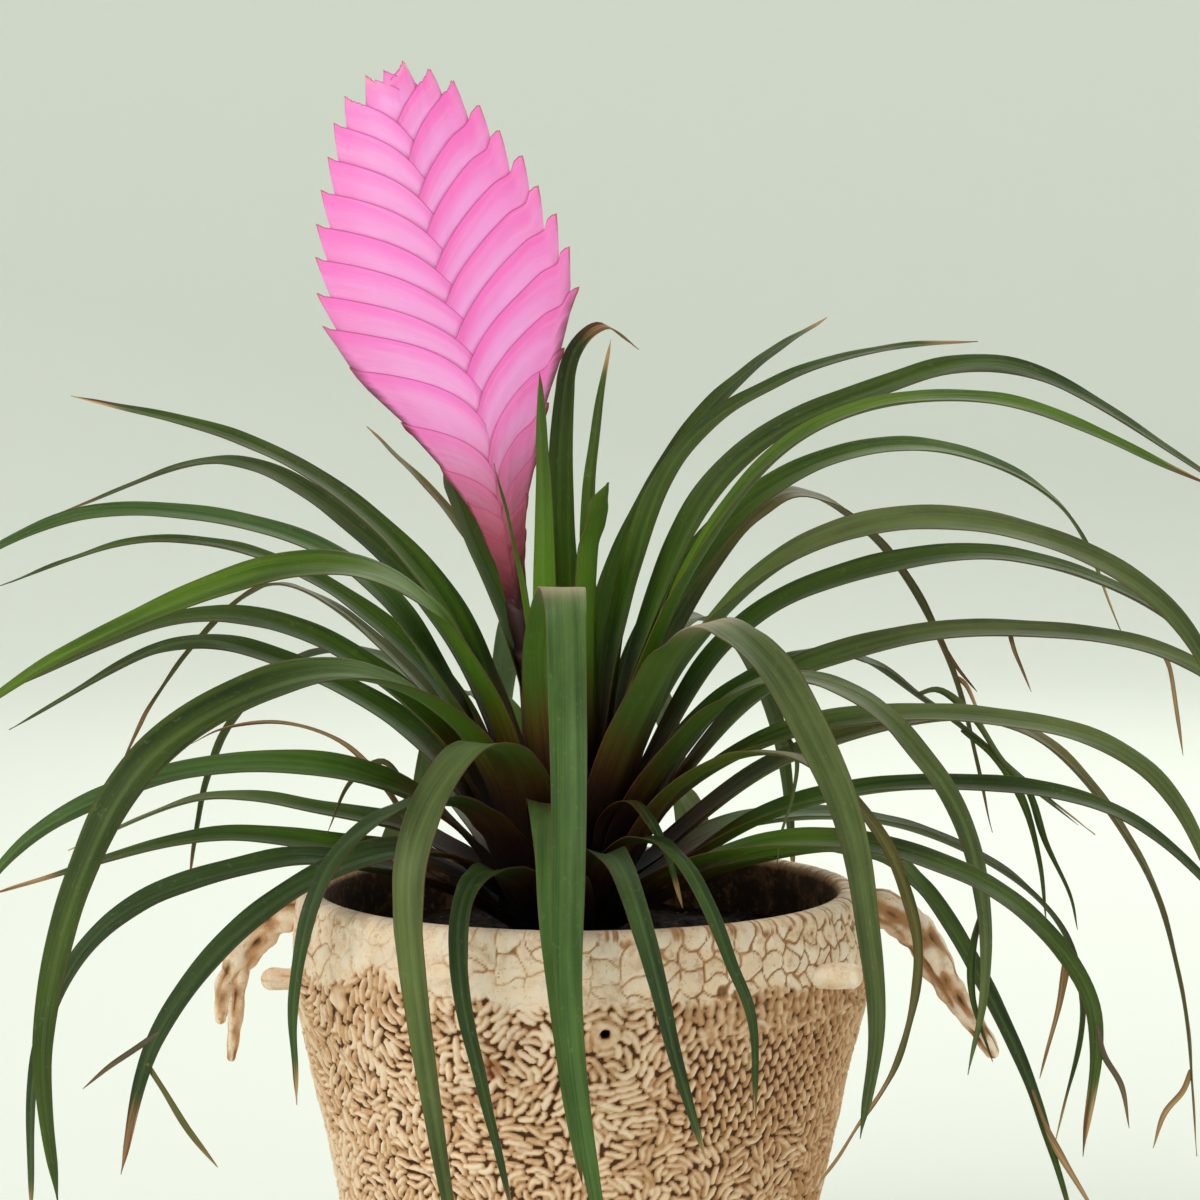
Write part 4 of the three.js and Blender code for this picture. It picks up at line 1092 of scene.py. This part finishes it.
def leaf_finish(look):
    f = Finish("strap leaf", own=False)
    side, dry, under, heart = (f.value(name) for name in ("side", "dry", "under", "heart"))
    middle, edge = side * side, (side * side) ** 2
    veins, streaks = f.noise((2600, 14, 1)), f.noise((620, 11, 1), 3, 0.6, 0.3)
    patches, scurf = f.noise((90, 26, 1), 3, 0.6), f.noise((700, 420, 1), 3, 0.75)
    spots = f.noise((260, 90, 1), 4, 0.8)
    tone = f.ease(streaks * 0.6 + patches * 0.6 + veins * 0.2, 0.42, 0.98)
    young = 1 - f.ease(heart + patches * 34, 72, 126)
    fresh = f.blend(under, f.blend(tone, tint(48, 80, 8), look.fresh), tint(98, 138, 26))
    # core: 1 near the rosette's heart, where the leaves are darkened towards black green: painted shade
    # inside the crown.
    core = 1 - f.ease(heart + (patches - 0.5) * 20, 34, 84)
    ochre = 1 - f.ease(heart + (streaks - 0.5) * 18, 38, 57)
    russet = 1 - f.ease(heart + (streaks - 0.5) * 16, 31, 48)
    colour = f.paint(
        f.vector("dark"),
        (tone, f.vector("light")),
        (young * f.value("fresh"), fresh),
        # Painted shade in the crown's core, weaker on the fresher leaves.
        (core * (0.8 - 0.5 * f.value("fresh")), tint(11, 19, 5)),
        # A pale line along the leaf's middle: a painted highlight on the fold.
        (f.ease(1 - middle, 0.95, 1.0) * 0.12, tint(128, 148, 92)),
        (under * (1 - young) * 0.35, tint(60, 76, 44)),
        (f.ease(scurf, 0.56, 0.78) * 0.24, tint(138, 146, 112)),
        (f.ease(spots, 0.58, 0.72) * f.ease(edge, 0.05, 0.8) * 0.45, tint(112, 84, 44)),
        (f.ease(edge, 0.7, 1.0) * 0.6, look.margin),
        (ochre * 0.7, tint(96, 54, 9)),
        (russet * 0.9, tint(46, 12, 7)),
        # Sheath colour near the heart: partly the sheaths' own dark brown and partly painted shade.
        (1 - f.ease(heart + (patches - 0.5) * 12, 22, 42), look.base),
        (f.value("worn") * (0.55 + 0.5 * streaks), tint(172, 156, 126)),
        (dry, f.blend(f.ease(streaks, 0.35, 0.65), tint(96, 62, 38), tint(192, 156, 110))),
    )
    rough = 0.42 + 0.16 * scurf + 0.12 * under + 0.25 * dry + 0.1 * (1 - tone) + 0.2 * russet
    normal = f.bump(veins * 0.6 + streaks * 0.5 + scurf * 0.25, 0.00035, 0.6)
    return f.close(colour, rough, normal, Specular_IOR_Level=0.22)


def strand(body, rng, spec, look):
    """One thin dry strand, growing from inside the leaf that carries it."""
    leaf = LEAVES[spec.family][spec.number - 1]
    track = leaf_way(leaf)[0]
    start = track[round(spec.share * (BLADE_ROWS - 1))]
    path, length = curve([start] + [start + np.array(stop) for stop in spec.way], STRAND_ROWS)
    t = np.linspace(0, 1, STRAND_ROWS)
    along = unit(np.gradient(path, axis=0))
    flat = unit(np.cross(along, (0.0, 1.0, 0.2)))
    turn = 0.9 * np.sin(2 * np.pi * (t * length / 60 + rng.random()))
    across = flat * np.cos(turn)[:, None] + np.cross(flat, along) * np.sin(turn)[:, None]
    half = (0.5 * spec.width * smooth(t, -0.25, 0.1) * np.clip(1.02 - t**2, 0.03, 1) ** 0.7)[:, None]
    thick = np.minimum(half * 0.6, look.thickness / MM * 0.6)
    side, t = np.cos(turns(STRAND_SIDES)), t[:, None]
    light, dark, dry = STRAND_TONES[spec.tone]
    body.add(hoops(path, across, np.cross(across, along), half * side, thick * np.sin(turns(STRAND_SIDES))), {
        "place": stacked(side * half * MM, t * length * MM, rng.random() * 40),
        "side": side[None, :],
        "dry": smooth(t, *dry),
        "heart": 120,
        "fresh": 0,
        "worn": 0,
        "under": 0,
        "light": light,
        "dark": dark,
    })


class QUILL_PLANT_OT_strands(bpy.types.Operator):
    """Builds the dry strands, the torn ends and the forks of the leaves"""

    bl_idname = "quill_plant.strands"
    bl_label = "Dry strands"

    def execute(self, context):
        look = context.scene.quill_leaf
        finish = bpy.data.materials.get("strap leaf") or leaf_finish(look)
        rng = random_for("strands")
        body = Body()
        for spec in STRANDS:
            strand(body, rng, spec, look)
        body.piece("dry_strands", finish, [])
        return {"FINISHED"}


class QUILL_PLANT_OT_leaves(bpy.types.Operator):
    """Builds one family of strap leaves"""

    bl_idname = "quill_plant.leaves"
    bl_label = "Leaves"

    family: bpy.props.EnumProperty(name="Family", description="Which side of the plant the leaves grow to",
                                   items=[(name, name.title(), "Leaves at the " + name) for name in FAMILIES])

    def execute(self, context):
        look = context.scene.quill_leaf
        finish = bpy.data.materials.get("strap leaf") or leaf_finish(look)
        rng = random_for("leaves", FAMILIES.index(self.family))
        body = Body()
        for leaf in LEAVES[self.family]:
            blade(body, rng, leaf, look)
        nodes = [f"leaf_{self.family}_{i + 1}" for i in range(len(LEAVES[self.family]))]
        nodes = [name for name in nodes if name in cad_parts]
        body.piece("leaves_" + self.family, finish, nodes)
        return {"FINISHED"}


# ---- Flower stalk and quill ----
STALK_ROWS, STALK_SIDES = 70, 28
CORE_ROWS, CORE_SIDES = 40, 12


class QUILL_PLANT_OT_stalk(bpy.types.Operator):
    """Builds the stalk of the quill, with the sheaths round it"""

    bl_idname = "quill_plant.stalk"
    bl_label = "Flower stalk"

    def execute(self, context):
        track, length = curve([(x, 0, z) for x, z in STALK_WAY], STALK_ROWS)
        across, over = frames(track)
        run, angle = np.linspace(0, length, STALK_ROWS)[:, None], turns(STALK_SIDES)
        top = smooth(run / length, 0.78, 0.95)
        step = np.maximum((run / 13 + angle / (2 * np.pi)) % 1, top)
        swell = STALK_RADIUS - 0.35 + 0.75 * step * (1 - smooth(step, 0.9, 1.0)) - 0.9 * top
        body = Body()
        body.add(hoops(track, across, over, swell * np.cos(angle), swell * np.sin(angle)), {"crest": step})
        f = Finish("stalk sheath")
        streaks = f.noise((900, 900, 60), 3)
        share = f.ease(f.value("crest") + (streaks - 0.5) * 0.6, 0.1, 1.0)
        colour = f.blend(share, tint(38, 12, 15), tint(58, 21, 25))
        finish = f.close(colour, 0.5 + 0.15 * streaks, f.bump(streaks, 0.0004, 0.5))
        body.piece("stalk", finish, ["flower_stalk"])
        return {"FINISHED"}


def on_quill(beside, forward, along):
    """A point of the quill: beside its axis, forward of it and along it."""
    tilt = math.radians(QUILL_TILT)
    up, right = (-math.sin(tilt), math.cos(tilt)), (math.cos(tilt), math.sin(tilt))
    bend = QUILL_BEND * np.sin(np.pi * np.minimum(along / 85, 1))
    x = QUILL_FOOT[0] + right[0] * (beside + bend) + up[0] * along
    z = QUILL_FOOT[1] + right[1] * (beside + bend) + up[1] * along
    return stacked(x, -forward, z)


BRACT_ROWS = np.concatenate([np.linspace(-1, 0, 6, endpoint=False), np.linspace(0, 0.86, 22),
                             np.linspace(0.88, 1, 12)])
BRACT_FALL = np.linspace(0, 1, 16) ** 1.25


def rim_fall(reach, side, beside):
    """How far a bract's upper edge has fallen at a place beside the axis, and its slope there."""
    span = max(reach, 13)
    scale = (span / 31) ** 0.55
    a, b, c = (scale * fall for fall in (RIM_FALL_RIGHT if side > 0 else RIM_FALL_LEFT))
    inward = reach - beside
    w = inward / span
    notch = (1.0 if side > 0 else 0.6) * smooth(inward, 0.2, 1.8)
    if side > 0:
        finger = sum(depth * smooth(inward, *where) for depth, where in FINGER)
        notch = mix(notch, finger, smooth(reach, 14, 22))
    return a * w + b * w**2 + c * w**6 + notch, (a + 2 * b * w + 6 * c * w**5) / span


def bract(body, rng, tip, side, depth, past, wall):
    """One keeled bract, folded at its outer edge and open along its upper edge.

    past: how far it runs past the axis, under the next bract of the other side.
    """
    reach, top = tip
    u = np.where(BRACT_ROWS < 0, BRACT_ROWS * past / reach, BRACT_ROWS)[:, None]
    rim = top - rim_fall(reach, side, u * reach)[0]
    if side > 0:
        rim = rim - 0.8 * smooth(u, 0.93, 1) ** 2
    if top > 130:
        rim = rim - np.abs(rng.normal(0, 0.35, u.shape)) * smooth(u, 0.3, 0.8) * (1 - smooth(u, 0.97, 1))
    c_u = np.clip(u, 0, 1)
    fall = BRACT_FALL[None, :]
    drop = fall * (depth * (1 - c_u**22) + 0.35)
    along = np.maximum(rim - drop, 0.2)
    slope = np.interp(top, [80, 100, 140], [0.3, 0.0, -0.3])
    tooth = max(0, reach - float(radius_at(QUILL_OUTLINE, top))) * smooth(top, 66, 80)
    tooth = tooth * (1 - smooth(drop, 0, 5))
    edge = np.minimum(reach - slope * drop * c_u**4, radius_at(QUILL_OUTLINE, along) + 0.4 + tooth)
    outer = edge * u
    q = np.clip(np.abs(outer) / radius_at(QUILL_OUTLINE, along), 0, 1)
    middle = QUILL_MIDDLE * (1 - 0.93 * q**1.5) * mix(0.62, 1, smooth(radius_at(QUILL_OUTLINE, along), 3, 18))
    puffed = 0.8 * (1 - fall) ** 1.2 + 2.4 * fall * (1 - fall) ** 2
    swell = mix(1 - fall, puffed, smooth(u, 0.0, 0.3))
    proud = middle + BRACT_STEP * (1 - 0.72 * q**1.3) * swell
    proud = proud - 0.9 * smooth(-u * reach, 0, past) + 0.05 * ripple(rng, u * 9 + fall * 2, (1.7, 2.9))
    inner_along = along[:, :1] - np.array([[0.1, 3.2]]) * (1 - c_u**22)
    skin = np.minimum(wall, 0.45 * proud[:, :1])
    inner = np.concatenate([proud[:, :1] - skin, (proud[:, :1] - skin) * 0.35], 1)

    def round_trip(outside, inside, back=1):
        """Over the front and down the back, then up inside the pocket."""
        return np.concatenate([outside, back * outside[:, ::-1], back * inside, inside[:, ::-1]], 1)

    heights, drops = round_trip(along, inner_along), round_trip(drop, 0 * inner)
    beside = side * round_trip(outer, outer[:, :1] + 0 * inner)
    body.add(on_quill(beside, round_trip(proud, inner, -1), heights), {
        "place": stacked(drops * MM, u * reach * MM, rng.random() * 40),
        "out": u,
        "drop": drops,
        # pocket: 1 inside the pocket behind the rim, which the finish paints maroon as shadow.
        "pocket": round_trip(0 * drop, 0 * inner + 1),
        "along": heights,
        "hand": side,
    })


def quill_finish(look):
    f = Finish("pink bract", own=False)
    out, drop, pocket, along, hand = (f.value(name) for name in ("out", "drop", "pocket", "along", "hand"))
    streaks, clouds, fine = f.noise((420, 34, 1), 3, 0.6, 0.2), f.noise((160, 60, 1)), f.noise((2400, 160, 1))
    # left and right: the left hand's pinks are lighter and the right's deeper, painted light and shade as if
    # the lamp stood to the left.
    left = f.blend(f.ease(drop + (clouds - 0.5) * 3, 0.4, 6.5), tint(253, 128, 212), tint(255, 166, 230))
    # On both hands a bract pales from its upper edge downwards: partly its own colour and partly a painted
    # sheen on its puffed lower part.
    right = f.blend(f.ease(drop + (clouds - 0.5) * 3, 0.8, 8.0), look.rim, look.lower)
    outer = f.ease(out, 0.45, 0.95)
    tooth = f.ease(out, 0.82, 0.96)
    dry = tooth * (1 - f.ease(drop + (fine - 0.5) * 0.5, 0.05, 0.5)) + f.ease(out, 0.972, 0.995)
    brown = f.ease(out + (streaks - 0.5) * 0.14, 0.86, 0.985) * (1 - f.ease(along, 58, 90))
    colour = f.paint(
        left,
        # The right hand's deeper pinks over the left's lighter ones: painted shade on the right.
        (f.ease(hand, -0.2, 0.2), right),
        (outer * 0.5, tint(250, 112, 194)),
        (f.ease(streaks, 0.45, 0.75) * 0.28, tint(255, 190, 232)),
        # A lighter lilac facet near the teeth of the right hand: painted highlight.
        (f.ease(out, 0.83, 0.9) * f.ease(hand, 0, 0.5) * 0.25, tint(255, 158, 216)),
        ((1 - f.ease(along + (clouds - 0.5) * 8, 20, 62)) * 0.6, tint(226, 132, 170)),
        ((1 - f.ease(drop, 0.05, 0.5)) * 0.75, look.seam),
        (f.ease(dry, 0.2, 1.0) * 0.75, look.tip),
        (f.ease(along, 131, 139) * f.ease(streaks, 0.4, 0.6) * 0.35, tint(238, 176, 160)),
        (brown * 0.9, look.foot),
        ((1 - f.ease(along + (streaks - 0.5) * 14, 14, 50)) * 0.9, tint(174, 76, 86)),
        ((1 - f.ease(along + (streaks - 0.5) * 12, 2, 26)) * 0.95, tint(96, 36, 44)),
        (1 - f.ease(along + (streaks - 0.5) * 6, -2, 12), tint(48, 16, 22)),
        # Maroon in the pockets and on the core: painted shadow.
        (pocket * 0.8, tint(140, 40, 70)),
    )
    rough = 0.50 + 0.12 * streaks - 0.05 * outer
    return f.close(colour, rough, f.bump(streaks * 0.6 + fine * 0.4, 0.0004, 0.35), Specular_IOR_Level=0.35,
                   Subsurface_Weight=0.12, Subsurface_Radius=(0.004, 0.0015, 0.002))


class QUILL_PLANT_OT_quill(bpy.types.Operator):
    """Builds the flat pink quill from its overlapping keeled bracts"""

    bl_idname = "quill_plant.quill"
    bl_label = "Pink quill"

    def execute(self, context):
        look = context.scene.quill_bract
        rng = random_for("quill")
        body = Body()
        core, angle = [], turns(CORE_SIDES)
        for along in np.linspace(5, 122, CORE_ROWS):
            half = 0.4 * radius_at(QUILL_OUTLINE, along) + 0.4
            thick = QUILL_MIDDLE * mix(0.36, 0.7, float(smooth(along, 5, 60)))
            core.append(on_quill(half * np.cos(angle), thick * np.sin(angle), along))
        # The core counts as pocket, so it is painted in the pocket's maroon shadow.
        inside = {"place": (0, 0, 0), "out": 0, "drop": 4, "pocket": 1, "along": 60, "hand": 0}
        body.add(np.array(core), inside)
        order = [(tip, 1) for tip in TIPS_RIGHT] + [(tip, -1) for tip in TIPS_LEFT]
        order.sort(key=lambda bract: -bract[0][1])
        for i, (tip, side) in enumerate(order):
            after = [other[0] for other in order[i + 1 :] if other[1] != side][:1]
            past = 2.0
            if after:
                fall, slope = rim_fall(tip[0], side, 0)
                fall_after, slope_after = rim_fall(after[0][0], -side, 0)
                gap = (tip[1] - fall) - (after[0][1] - fall_after)
                past = np.clip(gap / (slope + slope_after), 0.3, 5) + 0.8
            same = [other[0][1] for other in order[i + 1 :] if other[1] == side][:1] or [tip[1] - 9]
            depth = min(max(15, 1.8 * (tip[1] - same[0])), tip[1] - 0.5)
            bract(body, rng, tip, side, depth, past, look.wall / MM)
        body.piece("quill_bracts", quill_finish(look), ["quill"], math.radians(50))
        return {"FINISHED"}


# ---- Stage ----
FLOOR_REACH, FLOOR_BEND, FLOOR_SIDES = 1700, 900, 96
BACKDROP = ((2620, 1500), (2640, 2600))  # radius, height
LAMPS = (  # name, place in metres, size, share of the main lamp's power, colour
    ("key", (-0.9, -1.0, 1.35), 1.1, 1, (1.0, 0.985, 0.95)),
    ("fill", (1.2, -0.9, 0.7), 1.2, 0.2, (0.95, 0.98, 1.0)),
    ("back", (0.4, 1.2, 1.2), 1.0, 0.7, (1.0, 1.0, 0.96)),
)
LAMP_AIM = (0, 0, 0.18)
CAMERA_AIM = (0.005, 0, 0.202)  # the camera stands 1 m from it
CAMERA_PITCH = math.radians(5)


class QUILL_PLANT_OT_stage(bpy.types.Operator):
    """Builds the pale floor, the soft lights and the camera"""

    bl_idname = "quill_plant.stage"
    bl_label = "Stage"

    def execute(self, context):
        scene, look = context.scene, context.scene.quill_stage
        profile = [(0.05, 0), (900, 0), (FLOOR_REACH, 0)]
        profile += [(FLOOR_REACH + FLOOR_BEND * math.sin(turn), FLOOR_BEND * (1 - math.cos(turn)))
                    for turn in np.linspace(0.1, np.pi / 2, 16)]
        rings = [turned(radius, turns(FLOOR_SIDES), height) for radius, height in (*profile, *BACKDROP)]
        body = Body()
        body.add(np.array(rings), caps=False)
        body.faces = [face[::-1] for face in body.faces]
        floor = (*look.floor, 1)
        finish = Finish("pale floor").close(floor, 0.9, Specular_IOR_Level=0.1, Emission_Color=floor,
                                            Emission_Strength=0.18)
        body.build("floor", finish)

        world = bpy.data.worlds.new("soft sky")
        world.use_nodes = True
        sky = world.node_tree.nodes["Background"].inputs
        sky["Color"].default_value = (0.97, 1.0, 0.98, 1)
        sky["Strength"].default_value = look.sky
        scene.world = world

        for name, place, size, share, colour in LAMPS:
            lamp = bpy.data.lights.new(name, "AREA")
            lamp.size, lamp.energy, lamp.color = size, look.key * share, colour
            holder = bpy.data.objects.new(name, lamp)
            aim = unit(np.subtract(LAMP_AIM, place))
            holder.location = place
            holder.rotation_euler = (math.acos(-aim[2]), 0, math.atan2(-aim[0], aim[1]))
            scene.collection.objects.link(holder)

        lens = bpy.data.cameras.new("camera")
        lens.lens, lens.sensor_width = 120, 36
        lens.clip_start, lens.clip_end = 0.05, 20
        camera = bpy.data.objects.new("camera", lens)
        camera.location = np.add(CAMERA_AIM, (0, -math.cos(CAMERA_PITCH), math.sin(CAMERA_PITCH)))
        camera.rotation_euler = (math.pi / 2 - CAMERA_PITCH, 0, 0)
        scene.collection.objects.link(camera)
        scene.camera = camera
        scene.view_settings.view_transform = "Standard"
        return {"FINISHED"}


class QUILL_PLANT_PT_panel(bpy.types.Panel):
    """Lists the settings and the steps of the plant"""

    bl_idname = "QUILL_PLANT_PT_panel"
    bl_label = "Pink quill plant"
    bl_space_type = "VIEW_3D"
    bl_region_type = "UI"
    bl_category = "Quill plant"

    def draw(self, context):
        for owner, label, steps in PANEL_ROWS:
            box = self.layout.box()
            box.label(text=label)
            for setting in getattr(context.scene, owner).bl_rna.properties:
                if setting.identifier not in ("rna_type", "name"):
                    box.prop(getattr(context.scene, owner), setting.identifier)
            for step in steps:
                box.operator(step.bl_idname)


PANEL_ROWS = (
    ("quill_pot", "Pot", (QUILL_PLANT_OT_pot, QUILL_PLANT_OT_pot_arms, QUILL_PLANT_OT_soil)),
    ("quill_leaf", "Leaves", (QUILL_PLANT_OT_crown, QUILL_PLANT_OT_leaves, QUILL_PLANT_OT_strands)),
    ("quill_bract", "Quill", (QUILL_PLANT_OT_stalk, QUILL_PLANT_OT_quill)),
    ("quill_stage", "Stage", (QUILL_PLANT_OT_stage,)),
)
SETTINGS = {"quill_pot": PotSettings, "quill_leaf": LeafSettings, "quill_bract": QuillSettings,
            "quill_stage": StageSettings}
STEPS = tuple(step for _, _, steps in PANEL_ROWS for step in steps)


def register():
    for kind in (*SETTINGS.values(), *STEPS, QUILL_PLANT_PT_panel):
        bpy.utils.register_class(kind)
    for owner, kind in SETTINGS.items():
        setattr(bpy.types.Scene, owner, bpy.props.PointerProperty(type=kind))


def unregister():
    for owner in SETTINGS:
        delattr(bpy.types.Scene, owner)
    for kind in (QUILL_PLANT_PT_panel, *reversed(STEPS), *SETTINGS.values()):
        bpy.utils.unregister_class(kind)


def main():
    register()
    bpy.ops.quill_plant.stage()
    bpy.ops.quill_plant.pot()
    bpy.ops.quill_plant.pot_arms()
    bpy.ops.quill_plant.soil()
    bpy.ops.quill_plant.crown()
    for family in FAMILIES:
        bpy.ops.quill_plant.leaves(family=family)
    bpy.ops.quill_plant.strands()
    bpy.ops.quill_plant.stalk()
    bpy.ops.quill_plant.quill()


if __name__ == "__main__":
    main()
